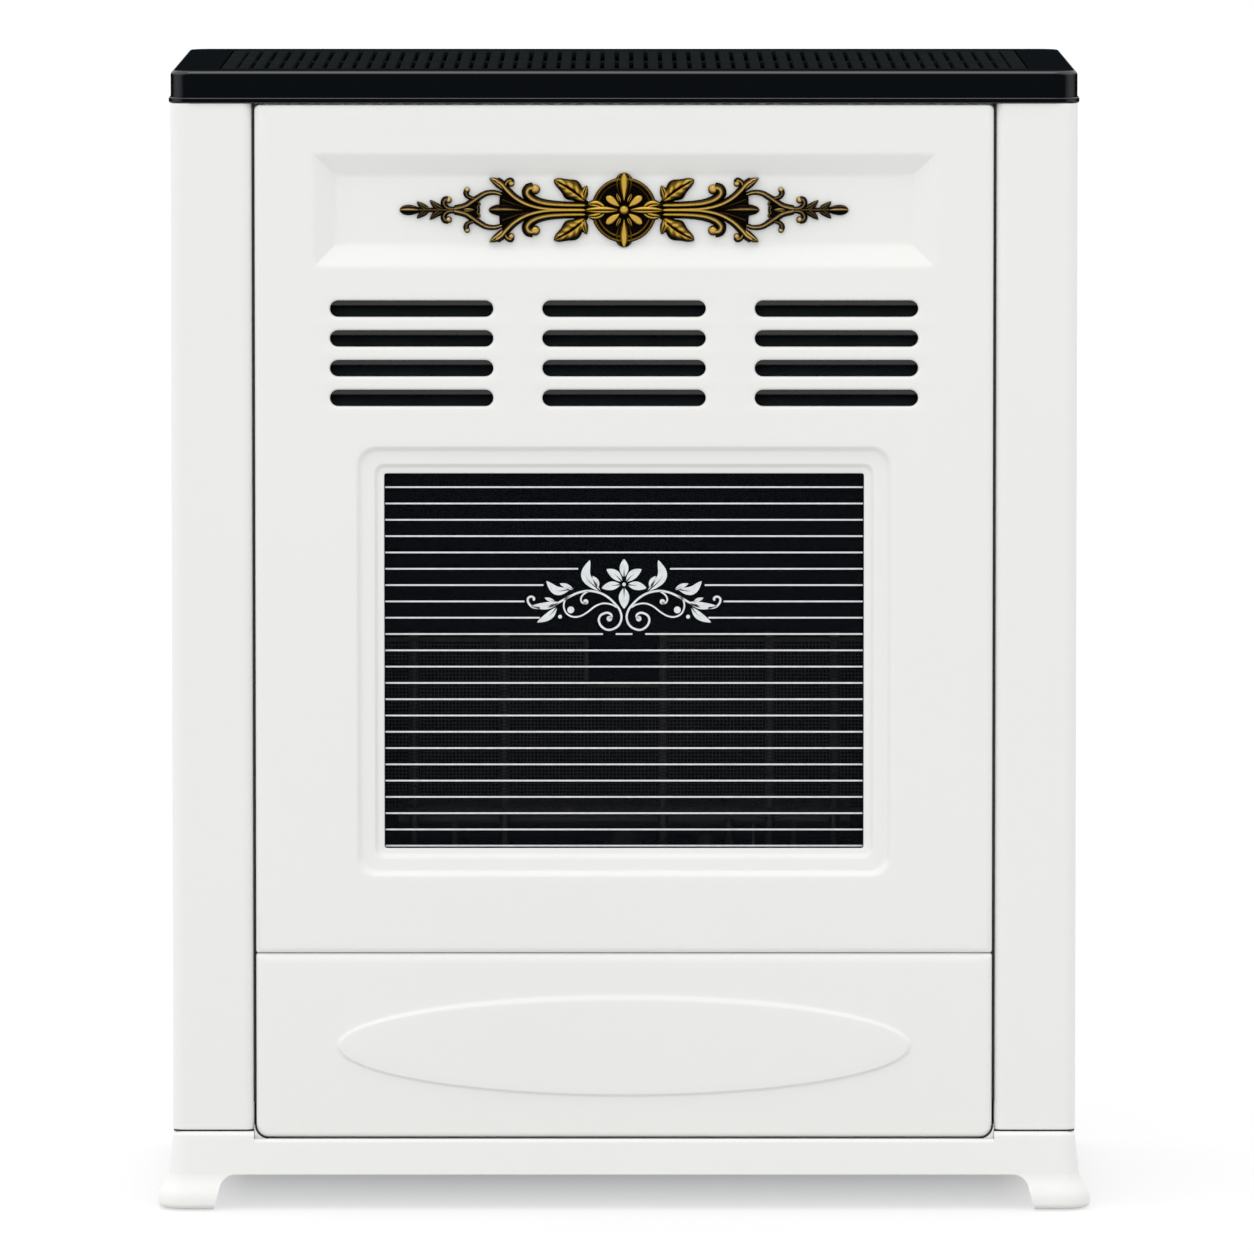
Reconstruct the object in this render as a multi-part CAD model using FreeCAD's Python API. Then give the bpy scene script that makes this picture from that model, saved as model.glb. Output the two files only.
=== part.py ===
import FreeCAD, Part
import math
import os

# Floor-standing gas heater. Millimetres, +Z up, the front faces -Y, and the origin lies on the floor
# under the middle of the whole heater's box.

V = FreeCAD.Vector

# Casing sizes
BODY_WIDTH = 555.0
BODY_DEPTH = 346.0
OVERALL_HEIGHT = 700.0
SHEET = 1.5
COLUMN_WIDTH = 50.0
COLUMN_OUTER_ROUND = 7.0
COLUMN_INNER_ROUND = 6.0
COLUMN_RETURN = 16.0
REAR_ROUND = 4.0
REAR_RETURN = 25.0
REAR_SCREW_ROWS = 4
REAR_SLOT_ROWS = 6
PANEL_GAP = 1.5
PANEL_DEPTH = 18.0
SEAM = 0.5

# Plinth and feet
PLINTH_STEP = 4.0
PLINTH_WALL = 4.5
PLINTH_SHOULDER = 48.0
PLINTH_LEDGE = 43.4
PLINTH_EDGE_ROUND = 3.5
PLINTH_FLANGE_TOP = 41.0
PLINTH_FLANGE_THICKNESS = 3.0
PLINTH_FLANGE_WIDTH = 30.0
PLINTH_FLANGE_INSET = 1.0
PLINTH_CORNER = 9.0
SKIRT_BOTTOM = 22.0
SKIRT_SLOPE = 2.6
FOOT_FLARE = 9.5
FOOT_WIDTH = 34.5
FOOT_TAPER = 6.0
FOOT_ARCH_ROUND = 10.0
TOE_HEIGHT = 5.0
TOE_ROUND = 3.5
PAD_RADIUS = 8.0
PAD_PROUD = 1.0
PAD_STEM_RADIUS = 3.0
PAD_STEM_LENGTH = 8.0
PAD_INSET = 12.0
PAD_FRONT_INSET = 8.0
PAD_BOSS_RADIUS = 9.0
PAD_STEM_CLEARANCE = 0.1

# Lower door and its hinge
DOOR_HEIGHT = 113.6
DOOR_GAP = 0.8
DOOR_SEAM = 0.7
DOOR_DEPTH = 14.0
DOOR_CORNER = 7.5
EDGE_ROUND = 3.5
ELLIPSE_SIDE_MARGIN = 49.0
ELLIPSE_HALF_HEIGHT = 31.0
ELLIPSE_RISE = 1.8
ELLIPSE_SLOPE = 4.0
ELLIPSE_ABOVE_BOTTOM = 56.2
HINGE_SETBACK = 8.0
HINGE_ABOVE_BOTTOM = 7.8
HINGE_INSET = 26.0
HINGE_PIN_RADIUS = 2.0
HINGE_CLEARANCE = 0.05
HINGE_LEAF_THICKNESS = 2.5
HINGE_LEAF_HEIGHT = 16.0
HINGE_ARM_THICKNESS = 2.4
HINGE_ARM_RADIUS = 3.8
HINGE_SIDE_GAP = 0.4
HINGE_ARM_REACH = 16.0
HINGE_FOOT_LENGTH = 16.0
HINGE_FOOT_WIDTH = 14.0
CATCH_WIDTH = 30.0
CATCH_HEIGHT = 9.0
CATCH_BELOW_TOP = 12.0
CATCH_GAP = 0.3

# Front panel pressings
RECESS_SIDE_MARGIN = 36.0
RECESS_HEIGHT = 69.2
RECESS_BELOW_TOP = 30.3
RECESS_BEVEL = 13.6
RECESS_DEPTH = 7.0
SLOT_LENGTH = 100.0
SLOT_HEIGHT = 10.2
SLOT_SIDE_MARGIN = 46.0
SLOT_ROW_PITCH = 18.25
SLOT_COLUMNS = 3
SLOT_ROWS = 4
SLOT_TOP_BELOW_TOP = 125.1
SLOT_RIM = 3.0
WINDOW_SIDE_MARGIN = 79.0
WINDOW_BELOW_SLOTS = 46.55
WINDOW_ABOVE_BOTTOM = 63.8
WINDOW_CORNER = 1.5
OUTER_STEP_MARGIN = 19.8
OUTER_STEP_SLOPE = 7.5
OUTER_STEP_DEPTH = 3.0
OUTER_STEP_CORNER = 12.0
INNER_STEP_MARGIN = 7.8
INNER_STEP_SLOPE = 4.9
INNER_STEP_DEPTH = 2.5
INNER_STEP_CORNER = 7.0

# Glass and what holds it
GASKET_THICKNESS = 2.0
GASKET_INSET = 0.5
GLASS_THICKNESS = 4.0
GLASS_LAP = 6.0
CLIP_WIDTH = 16.0
CLIP_SPACING = 120.0
CLIP_LAP = 4.0
CLIP_FOOT = 16.0
CLIP_CLEAR_OF_STEP = 5.0
CLIP_STUD_RADIUS = 2.0
CLIP_STUD_LENGTH = 7.5
CLIP_HOLE_CLEARANCE = 0.2
NUT_ACROSS_FLATS = 7.0
NUT_HEIGHT = 3.2

# Top cover and grille
COVER_HEIGHT = 20.0
COVER_WALL = 1.5
COVER_CORNER = 15.0
COVER_TOP_ROUND = 3.0
COVER_BEAD = 1.2
COVER_BEAD_HEIGHT = 3.6
COVER_BEAD_ROUND = 0.96
GRILLE_SIDE_BORDER = 29.0
GRILLE_END_BORDER = 28.0
GRILLE_LEDGE = 6.0
GRILLE_THICKNESS = 4.0
GRILLE_CLEARANCE = 0.8
GRILLE_FRAME = 9.0
GRILLE_CORNER = 8.0
GRILLE_BAR = 4.4
GRILLE_PITCH = 9.0
GRILLE_CROSS_BAR = 8.0
GRILLE_EDGE_ROUND = 1.0

# Inner frame and combustion box
FIREBOX_SIDE_GAP = 92.5
FIREBOX_BELOW_WINDOW = 27.3
FIREBOX_ABOVE_WINDOW = 21.9
FIREBOX_SETBACK = 22.0
FIREBOX_DEPTH = 200.0
FIREBOX_OUTLET_MARGIN = 10.0
CHASSIS_FOOT = 18.0
CHASSIS_START = 48.0
CHASSIS_DEPTH = 170.0
CHASSIS_SCREW_INSET = 25.5
PAN_SETBACK = 20.0
PAN_MARGIN = 12.0
RAIL_SETBACK = 22.0
RAIL_DROP = 18.0
RAIL_RISE = 17.0
TOP_RAIL_HEIGHT = 36.0
EXCHANGER_SIDE_MARGIN = 65.0
EXCHANGER_SETBACK = 38.0
EXCHANGER_HEIGHT = 145.0
BAFFLE_RISE = 62.0
BAFFLE_GAP = 45.0
HOOD_HALF_WIDTH = 80.0
HOOD_DEPTH = 65.0
HOOD_RISE = 25.0
HOOD_HEIGHT = 140.0
FLUE_RISE = 95.0
FLUE_PASSAGE_RADIUS = 40.0
FLUE_RADIUS = 49.75
FLUE_WALL = 1.5
FLUE_FLANGE_RADIUS = 62.0
FLUE_BEAD = 2.0
FLUE_BEAD_WIDTH = 4.0
FLUE_BEAD_GAP = 1.0
FLUE_HOLE_CLEARANCE = 4.0
COLLAR_REACH = 45.0
SHIELD_SIDE_MARGIN = 15.0
SHIELD_RISE = 160.0
SHIELD_GAP = 43.0
SHIELD_STUD_RADIUS = 4.0
SHIELD_STUD_X = 65.0
SHIELD_STUD_INSET = 20.0
SCREW_RADIUS = 1.9
SCREW_HOLE_CLEARANCE = 0.2
SCREW_HEAD_RADIUS = 4.0
SCREW_HEAD_HEIGHT = 2.4
SCREW_LENGTH = 7.0

# Burner, pilot and controls, with depths counted back from the front face
BURNER_SETBACK = 95.0
BURNER_RISE = 37.0
BURNER_RADIUS = 14.0
BURNER_SIDE_MARGIN = 45.0
BURNER_WALL = 1.5
BURNER_BRACKET_CLEARANCE = 16.0
PORT_RADIUS = 1.6
PORT_PITCH = 10.0
VENTURI_RADIUS = 13.0
VENTURI_MOUTH_RADIUS = 20.0
VENTURI_DROP = 23.0
INJECTOR_RADIUS = 6.0
INJECTOR_HEIGHT = 16.0
INJECTOR_FOOT_RADIUS = 5.4
INJECTOR_TIP_RADIUS = 3.0
RISER_RADIUS = 4.8
SCREEN_SIDE_MARGIN = 35.0
SCREEN_RISE = 45.0
SCREEN_HEIGHT = 108.0
SCREEN_SETBACK = 55.0
SCREEN_THICKNESS = 1.2
SCREEN_FRAME = 5.0
SCREEN_COLUMNS = 28
SCREEN_ROWS = 10
SCREEN_WIRE = 1.6
SCREEN_NOTCH_HALF_WIDTH = 23.0
SCREEN_NOTCH_DEPTH = 30.0
SCREEN_POST_RADIUS = 3.0
SCREEN_POST_INSET = 20.0
SCREEN_MIDDLE_POSTS = (-74.0, 24.0, 90.0)
PILOT_SETBACK = 72.0
PILOT_X = 50.0
PILOT_PITCH = 15.0
PILOT_RADIUS = 5.0
PROBE_RADIUS = 3.0
ELECTRODE_RADIUS = 3.5
PILOT_HOLE_MARGIN = 6.5
PILOT_PLATE_MARGIN = 9.0
VALVE_SETBACK = 52.0
VALVE_DEPTH = 58.0
VALVE_LEFT = -62.0
VALVE_RIGHT = 14.0
VALVE_BOTTOM = 78.0
VALVE_TOP = 132.0
VALVE_PORT_HEIGHT = 7.0
VALVE_INLET_BOSS = 8.0
VALVE_INLET_RADIUS = 10.0
VALVE_INLET_SETBACK = 80.0
VALVE_BOSS_RADIUS = 14.0
VALVE_BOSS_LENGTH = 6.0
PROBE_PORT_X = -15.0
PILOT_PORT_X = -30.0
PORT_BOSS_RADIUS = 5.0
KNOB_X = -38.0
KNOB_HEIGHT = 105.0
KNOB_RADIUS = 20.0
KNOB_LENGTH = 19.0
KNOB_FRONT_SETBACK = 17.0
KNOB_GRIP_WIDTH = 9.0
KNOB_GRIP_DEPTH = 11.0
KNOB_GRIP_CORNER = 3.6
KNOB_STROKE = 5.0
SPINDLE_SIDE = 6.0
SPINDLE_CLEARANCE = 0.05
SPINDLE_END_SETBACK = 70.0
SLEEVE_RADIUS = 6.5
SLEEVE_CLEARANCE = 0.05
SLEEVE_LENGTH = 20.0
FASCIA_SETBACK = 42.0
FASCIA_HALF_WIDTH = 110.0
FASCIA_TOP = 150.0
FASCIA_FOOT = 7.0
FASCIA_HOLE_RADIUS = 8.0
PIEZO_X = 45.0
PIEZO_NECK_RADIUS = 9.0
PIEZO_BODY_RADIUS = 11.0
PIEZO_BODY_LENGTH = 42.0
PIEZO_FLANGE_RADIUS = 12.5
PIEZO_FLANGE_HEIGHT = 2.5
PIEZO_CLEARANCE = 0.2
PIEZO_BORE_DEPTH = 30.0
PIEZO_TERMINAL_RADIUS = 2.5
PIEZO_TERMINAL_LENGTH = 7.0
BUTTON_RADIUS = 6.0
BUTTON_CLEARANCE = 0.05
BUTTON_PROUD = 9.0
BUTTON_STROKE = 7.0
INLET_RADIUS = 10.48
INLET_BORE_RADIUS = 6.0
INLET_STUB = 16.0
INLET_NECK_RADIUS = 9.0
INLET_NECK_LENGTH = 10.0
INLET_X = -140.0
INLET_HEX_FLATS = 27.0
INLET_HEX_HEIGHT = 9.0
PIPE_RADIUS = 6.0
PIPE_BEND = 22.0
SMALL_PIPE_RADIUS = 2.0
LEAD_RADIUS = 1.6
LEAD_BEND = 9.0
SWITCH_RADIUS = 8.0
SWITCH_HEIGHT = 7.0
SWITCH_TAB_HALF_LENGTH = 12.0

# Ornament sizes
ORNAMENT_STANDOFF = 2.0
ORNAMENT_PEG_RADIUS = 1.5
ORNAMENT_PEG_CLEARANCE = 0.1
ORNAMENT_PEG_X = 40.0
PUSH_NUT_RADIUS = 4.5
PUSH_NUT_HEIGHT = 1.5

# Louvre pack
LOUVRE_GAP = 2.0
LOUVRE_DEPTH = 16.0
LOUVRE_RISE = 12.0
LOUVRE_BLADE = 1.5
LOUVRE_MARGIN = 8.0
LOUVRE_FOOT = 12.0

# Places worked out from the sizes above
HALF_WIDTH = BODY_WIDTH / 2
FRONT = -(BODY_DEPTH + COLLAR_REACH - PLINTH_STEP - FOOT_FLARE) / 2
REAR = FRONT + BODY_DEPTH
COVER_BOTTOM = OVERALL_HEIGHT - COVER_HEIGHT
COLUMN_BOTTOM = PLINTH_SHOULDER + SEAM
PANEL_HALF_WIDTH = HALF_WIDTH - COLUMN_WIDTH - PANEL_GAP
ELLIPSE_HALF_WIDTH = PANEL_HALF_WIDTH - ELLIPSE_SIDE_MARGIN
HINGE_X = PANEL_HALF_WIDTH - HINGE_INSET
RECESS_HALF_WIDTH = PANEL_HALF_WIDTH - RECESS_SIDE_MARGIN
OUTER_SLOT_X = PANEL_HALF_WIDTH - SLOT_SIDE_MARGIN - SLOT_LENGTH / 2
SLOT_COLUMN_PITCH = 2 * OUTER_SLOT_X / (SLOT_COLUMNS - 1)
WINDOW_HALF_WIDTH = PANEL_HALF_WIDTH - WINDOW_SIDE_MARGIN
FIREBOX_HALF_WIDTH = HALF_WIDTH - FIREBOX_SIDE_GAP
EXCHANGER_HALF_WIDTH = FIREBOX_HALF_WIDTH - EXCHANGER_SIDE_MARGIN
SHIELD_HALF_WIDTH = FIREBOX_HALF_WIDTH - SHIELD_SIDE_MARGIN
BURNER_HALF_LENGTH = FIREBOX_HALF_WIDTH - BURNER_SIDE_MARGIN
SCREEN_HALF_WIDTH = FIREBOX_HALF_WIDTH - SCREEN_SIDE_MARGIN
SCREEN_END_POST = SCREEN_HALF_WIDTH - SCREEN_POST_INSET
SCREEN_POSTS = (-SCREEN_END_POST,) + SCREEN_MIDDLE_POSTS + (SCREEN_END_POST,)
DOOR_BOTTOM = PLINTH_LEDGE + DOOR_GAP
DOOR_TOP = DOOR_BOTTOM + DOOR_HEIGHT
PANEL_BOTTOM = DOOR_TOP + DOOR_SEAM
PANEL_TOP = COVER_BOTTOM - SEAM
PAN_TOP = PLINTH_FLANGE_TOP + SHEET
HINGE_Y = FRONT + HINGE_SETBACK
HINGE_Z = DOOR_BOTTOM + HINGE_ABOVE_BOTTOM
RECESS_TOP = PANEL_TOP - RECESS_BELOW_TOP
RECESS_BOTTOM = RECESS_TOP - RECESS_HEIGHT
RECESS_FLOOR = FRONT + RECESS_DEPTH
RECESS_MIDDLE = (RECESS_TOP + RECESS_BOTTOM) / 2
WINDOW_BOTTOM = PANEL_BOTTOM + WINDOW_ABOVE_BOTTOM
SLOT_TOP_ROW = PANEL_TOP - SLOT_TOP_BELOW_TOP
SLOT_BOTTOM_ROW = SLOT_TOP_ROW - SLOT_ROW_PITCH * (SLOT_ROWS - 1)
WINDOW_TOP = SLOT_BOTTOM_ROW - WINDOW_BELOW_SLOTS
WINDOW_SEAT = FRONT + OUTER_STEP_DEPTH + INNER_STEP_DEPTH + SHEET
GLASS_FRONT = WINDOW_SEAT + GASKET_THICKNESS
GLASS_BACK = GLASS_FRONT + GLASS_THICKNESS
FIREBOX_BOTTOM = WINDOW_BOTTOM - FIREBOX_BELOW_WINDOW
FIREBOX_TOP = WINDOW_TOP + FIREBOX_ABOVE_WINDOW
FIREBOX_FRONT = FRONT + FIREBOX_SETBACK
FIREBOX_BACK = FIREBOX_FRONT + FIREBOX_DEPTH
FIREBOX_FLOOR = FIREBOX_BOTTOM + SHEET
FLUE_HEIGHT = FIREBOX_TOP + FLUE_RISE
HOOD_BACK = FIREBOX_BACK + HOOD_DEPTH
BURNER_Y = FRONT + BURNER_SETBACK
BURNER_HEIGHT = FIREBOX_BOTTOM + BURNER_RISE
VENTURI_BOTTOM = FIREBOX_BOTTOM - VENTURI_DROP
SCREEN_BOTTOM = FIREBOX_BOTTOM + SCREEN_RISE
SCREEN_TOP = SCREEN_BOTTOM + SCREEN_HEIGHT
PILOT_Y = FRONT + PILOT_SETBACK
PILOT_PLACES = (PILOT_X, PILOT_X + PILOT_PITCH, PILOT_X + 2 * PILOT_PITCH)
BURNER_BRACKET_X = PILOT_PLACES[-1] + PILOT_PLATE_MARGIN + BURNER_BRACKET_CLEARANCE
FASCIA_FRONT = FRONT + FASCIA_SETBACK
FASCIA_BACK = FASCIA_FRONT + SHEET
VALVE_FRONT = FRONT + VALVE_SETBACK
VALVE_BACK = VALVE_FRONT + VALVE_DEPTH
PAST = 20.0


# Shared shapes


def box(x, y, z):
    """Block between the low and high value of each axis."""
    return Part.makeBox(x[1] - x[0], y[1] - y[0], z[1] - z[0], V(x[0], y[0], z[0]))


def rod(start, end, radius):
    """Round bar between two points."""
    along = V(*end) - V(*start)
    return Part.makeCylinder(radius, along.Length, V(*start), along)


def pillar(x, y, z, radius):
    """Upright round bar between two heights."""
    return rod((x, y, z[0]), (x, y, z[1]), radius)


def flue_bar(y, radius):
    """Round bar on the flue's axis between two depths."""
    return rod((0, y[0], FLUE_HEIGHT), (0, y[1], FLUE_HEIGHT), radius)


def cone(start, end, start_radius, end_radius):
    """Tapered round bar between two points."""
    along = V(*end) - V(*start)
    return Part.makeCone(start_radius, end_radius, along.Length, V(*start), along)


def mirrored(shape):
    """The same shape on the other side of the middle plane."""
    return shape.mirror(V(0, 0, 0), V(1, 0, 0))


def at_height(z):
    """Places plan points at one height."""
    return lambda u, v: V(u, v, z)


def at_depth(y):
    """Places front-view points at one depth."""
    return lambda u, v: V(u, y, v)


def at_side(x):
    """Places side-view points at one distance across."""
    return lambda u, v: V(x, u, v)


def outline(points, radii, place):
    """Closed wire through the points, with each corner rounded by its own radius."""
    flat = [V(u, v, 0) for u, v in points]
    corners = []
    for i, here in enumerate(flat):
        to_last = (flat[i - 1] - here).normalize()
        to_next = (flat[(i + 1) % len(flat)] - here).normalize()
        half_angle = to_last.getAngle(to_next) / 2
        reach = radii[i] / math.tan(half_angle)
        middle = here
        if radii[i] > 0:
            bisector = (to_last + to_next).normalize()
            middle = here + bisector * (radii[i] / math.sin(half_angle) - radii[i])
        corners.append((here + to_last * reach, middle, here + to_next * reach))
    edges = []
    for i, (start, middle, end) in enumerate(corners):
        if radii[i] > 0:
            edges.append(Part.Arc(*(place(p.x, p.y) for p in (start, middle, end))).toShape())
        following = corners[(i + 1) % len(corners)][0]
        if (following - end).Length > 1e-6:
            edges.append(Part.makeLine(place(end.x, end.y), place(following.x, following.y)))
    return Part.Wire(edges)


def corners_of(u, v):
    """The four corners of a rectangle, in order round it."""
    return [(u[0], v[0]), (u[1], v[0]), (u[1], v[1]), (u[0], v[1])]


def slab(wire, along):
    """Solid between a closed wire and its copy moved along a direction."""
    return Part.Face(wire).extrude(V(*along))


def front_plate(x, z, y, radius=0.0):
    """Rectangular plate facing the front, with round corners, between two depths."""
    wire = outline(corners_of(x, z), [radius] * 4, at_depth(y[0]))
    return slab(wire, (0, y[1] - y[0], 0))


def flat_plate(x, y, z, radius=0.0):
    """Rectangular plate lying flat, with round corners, between two heights."""
    wire = outline(corners_of(x, y), [radius] * 4, at_height(z[0]))
    return slab(wire, (0, 0, z[1] - z[0]))


def grown(pair, margin):
    """A low and high value, each moved outwards by a margin."""
    return (pair[0] - margin, pair[1] + margin)


def pressing(x, z, slope, y, radius):
    """Pocket that narrows by a slope from its mouth at the first depth to its floor at the second."""
    floor_radius = max(radius - slope, 0.0)
    mouth = outline(corners_of(x, z), [radius] * 4, at_depth(y[0]))
    floor = outline(corners_of(grown(x, -slope), grown(z, -slope)), [floor_radius] * 4, at_depth(y[1]))
    return Part.makeLoft([mouth, floor], True, True)


def edges_in_plane(shape, axis, value):
    """Edges that lie wholly in one plane square to an axis."""
    found = []
    for edge in shape.Edges:
        low = getattr(edge.BoundBox, axis + "Min")
        high = getattr(edge.BoundBox, axis + "Max")
        if abs(low - value) < 1e-4 and abs(high - value) < 1e-4:
            found.append(edge)
    return found


def tray(x, z, depth, corner):
    """Folded sheet with rounded front edges and a flange all round, open at the back."""
    outer = front_plate(x, z, (FRONT, FRONT + depth), corner)
    outer = outer.makeFillet(EDGE_ROUND, edges_in_plane(outer, "Y", FRONT))
    inner_face = FRONT + SHEET
    inner_corner = max(corner - SHEET, 0.0)
    inner_y = (inner_face, FRONT + depth + PAST)
    inner = front_plate(grown(x, -SHEET), grown(z, -SHEET), inner_y, inner_corner)
    inner = inner.makeFillet(EDGE_ROUND - SHEET, edges_in_plane(inner, "Y", inner_face))
    return outer.cut(inner)


def hexagon(centre, flats, height, along):
    """Six-sided bar of a given size across its flats."""
    corner = flats / math.sqrt(3)
    circle = Part.makePolygon([V(corner * math.cos(math.radians(60 * i)),
                                 corner * math.sin(math.radians(60 * i)), 0) for i in range(7)])
    bar = Part.Face(circle).extrude(V(0, 0, height))
    bar.Placement = FreeCAD.Placement(V(*centre), FreeCAD.Rotation(V(0, 0, 1), V(*along)))
    return bar


def bent_bar(points, radius, bend):
    """Round bar along straight runs joined by tangent arcs."""
    nodes = [V(*p) for p in points]
    edges = []
    start = nodes[0]
    for i in range(1, len(nodes) - 1):
        back = (nodes[i - 1] - nodes[i]).normalize()
        ahead = (nodes[i + 1] - nodes[i]).normalize()
        half_angle = back.getAngle(ahead) / 2
        reach = bend / math.tan(half_angle)
        first = nodes[i] + back * reach
        last = nodes[i] + ahead * reach
        bisector = (back + ahead).normalize()
        middle = nodes[i] + bisector * (bend / math.sin(half_angle) - bend)
        edges.append(Part.makeLine(start, first))
        edges.append(Part.Arc(first, middle, last).toShape())
        start = last
    edges.append(Part.makeLine(start, nodes[-1]))
    path = Part.Wire(edges)
    section = Part.Wire(Part.makeCircle(radius, nodes[0], nodes[1] - nodes[0]))
    return path.makePipeShell([section], True, False)


def fused(shapes):
    """One solid from shapes that meet."""
    return shapes[0].multiFuse(shapes[1:]).removeSplitter()


# Plinth


def plinth_profile():
    """Wall section: rounded top edge, gently sloped skirt, then a flare to a rounded toe."""
    inner = -PLINTH_WALL
    side_x = HALF_WIDTH
    place = lambda u, z: V(side_x + u, 0, z)
    top = PLINTH_SHOULDER
    edge = PLINTH_EDGE_ROUND
    toe_bottom = PAD_PROUD
    half_step = edge * (1 - math.sqrt(0.5))
    toe_step = TOE_ROUND * (1 - math.sqrt(0.5))
    toe_turn = toe_bottom + TOE_ROUND
    flare = Part.BezierCurve()
    flare.setPoles([place(SKIRT_SLOPE, SKIRT_BOTTOM),
                    place(SKIRT_SLOPE + FOOT_FLARE / 6, (SKIRT_BOTTOM + TOE_HEIGHT) / 2),
                    place(FOOT_FLARE, (SKIRT_BOTTOM + TOE_HEIGHT) / 2),
                    place(FOOT_FLARE, toe_turn)])
    edges = [
        Part.makeLine(place(inner, toe_bottom), place(inner, top)),
        Part.makeLine(place(inner, top), place(-edge, top)),
        Part.Arc(place(-edge, top), place(-half_step, top - half_step), place(0, top - edge)).toShape(),
        Part.makeLine(place(0, top - edge), place(SKIRT_SLOPE, SKIRT_BOTTOM)),
        flare.toShape(),
        Part.Arc(place(FOOT_FLARE, toe_turn), place(FOOT_FLARE - toe_step, toe_bottom + toe_step),
                 place(FOOT_FLARE - TOE_ROUND, toe_bottom)).toShape(),
        Part.makeLine(place(FOOT_FLARE - TOE_ROUND, toe_bottom), place(inner, toe_bottom)),
    ]
    return Part.Wire(edges)


def pad_places():
    """Middle of each foot pad in plan."""
    x = HALF_WIDTH - PAD_INSET
    return [(side * x, y) for side in (-1, 1) for y in (FRONT + PAD_FRONT_INSET, REAR - PAD_INSET)]


def plinth_wall():
    """The wall section carried round the plan as four straight runs and four turned corners."""
    front = FRONT - PLINTH_STEP
    section = Part.Face(plinth_profile())
    middle_y = (front + REAR) / 2
    run_x = HALF_WIDTH - PLINTH_CORNER
    run_y = (REAR - front) / 2 - PLINTH_CORNER
    side = section.copy()
    side.translate(V(0, middle_y - run_y, 0))
    side = side.extrude(V(0, 2 * run_y, 0))
    ahead = section.copy()
    ahead.translate(V(-HALF_WIDTH, 0, 0))
    ahead.rotate(V(0, 0, 0), V(0, 0, 1), -90)
    ahead.translate(V(-run_x, front, 0))
    ahead = ahead.extrude(V(2 * run_x, 0, 0))
    turn = section.copy()
    turn.translate(V(PLINTH_CORNER - HALF_WIDTH, 0, 0))
    turn = turn.revolve(V(0, 0, 0), V(0, 0, 1), 90)
    turn.translate(V(run_x, middle_y + run_y, 0))
    right = fused([side, turn])
    behind = ahead.mirror(V(0, middle_y, 0), V(0, 1, 0))
    front_turn = turn.mirror(V(0, middle_y, 0), V(0, 1, 0))
    right = fused([right, front_turn])
    return fused([right, mirrored(right), ahead, behind])


def base_plinth():
    front = FRONT - PLINTH_STEP
    wall = plinth_wall()
    inside_x = (-HALF_WIDTH + PLINTH_WALL, HALF_WIDTH - PLINTH_WALL)
    inside_y = (front + PLINTH_WALL, REAR - PLINTH_WALL)
    flange_z = (PLINTH_FLANGE_TOP - PLINTH_FLANGE_THICKNESS, PLINTH_FLANGE_TOP)
    flange = box(grown(inside_x, PLINTH_WALL / 2), grown(inside_y, PLINTH_WALL / 2), flange_z)
    opening = box(grown(inside_x, -PLINTH_FLANGE_WIDTH), grown(inside_y, -PLINTH_FLANGE_WIDTH),
                  grown(flange_z, PAST))
    flange_x = grown((-HALF_WIDTH, HALF_WIDTH), -PLINTH_FLANGE_INSET)
    flange_y = grown((front, REAR), -PLINTH_FLANGE_INSET)
    flange = flange.common(flat_plate(flange_x, flange_y, flange_z, PLINTH_CORNER)).cut(opening)
    bosses = [rod((x, y, PAD_PROUD), (x, y, flange_z[0] + 1), PAD_BOSS_RADIUS) for x, y in pad_places()]
    solid = fused([wall, flange] + bosses)
    foot_x = HALF_WIDTH + FOOT_FLARE - FOOT_WIDTH
    arch_x = [(-foot_x, 0), (foot_x, 0), (foot_x - FOOT_TAPER, SKIRT_BOTTOM),
              (FOOT_TAPER - foot_x, SKIRT_BOTTOM)]
    rounds = [0, 0, FOOT_ARCH_ROUND, FOOT_ARCH_ROUND]
    arch = slab(outline(arch_x, rounds, at_depth(front - 2 * PAST)), (0, BODY_DEPTH + 4 * PAST, 0))
    solid = solid.cut(arch)
    foot_front = front - FOOT_FLARE + FOOT_WIDTH
    foot_rear = REAR + FOOT_FLARE - FOOT_WIDTH
    arch_y = [(foot_front, 0), (foot_rear, 0), (foot_rear - FOOT_TAPER, SKIRT_BOTTOM),
              (foot_front + FOOT_TAPER, SKIRT_BOTTOM)]
    side_arch = outline(arch_y, rounds, at_side(-HALF_WIDTH - 2 * PAST))
    solid = solid.cut(slab(side_arch, (BODY_WIDTH + 4 * PAST, 0, 0)))
    ledge_half = HALF_WIDTH - COLUMN_WIDTH
    solid = solid.cut(box((-ledge_half, ledge_half), (front - PAST, FRONT + PAN_SETBACK),
                          (PLINTH_LEDGE, PLINTH_SHOULDER + PAST)))
    ledge_edges = [e for e in edges_in_plane(solid, "Z", PLINTH_LEDGE)
                   if e.BoundBox.XLength > ledge_half and e.BoundBox.YMax < FRONT - PLINTH_STEP + 1]
    solid = solid.makeFillet(PLINTH_EDGE_ROUND - 1, ledge_edges)
    for x, y in pad_places():
        top = PAD_PROUD + PAD_STEM_LENGTH + PAD_STEM_CLEARANCE
        solid = solid.cut(rod((x, y, 0), (x, y, top), PAD_STEM_RADIUS + PAD_STEM_CLEARANCE))
    return solid


def foot_pads():
    pads = []
    for x, y in pad_places():
        disc = rod((x, y, 0), (x, y, PAD_PROUD), PAD_RADIUS)
        stem = rod((x, y, 0), (x, y, PAD_PROUD + PAD_STEM_LENGTH), PAD_STEM_RADIUS)
        pads.append(fused([disc, stem]))
    return Part.makeCompound(pads)


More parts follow.
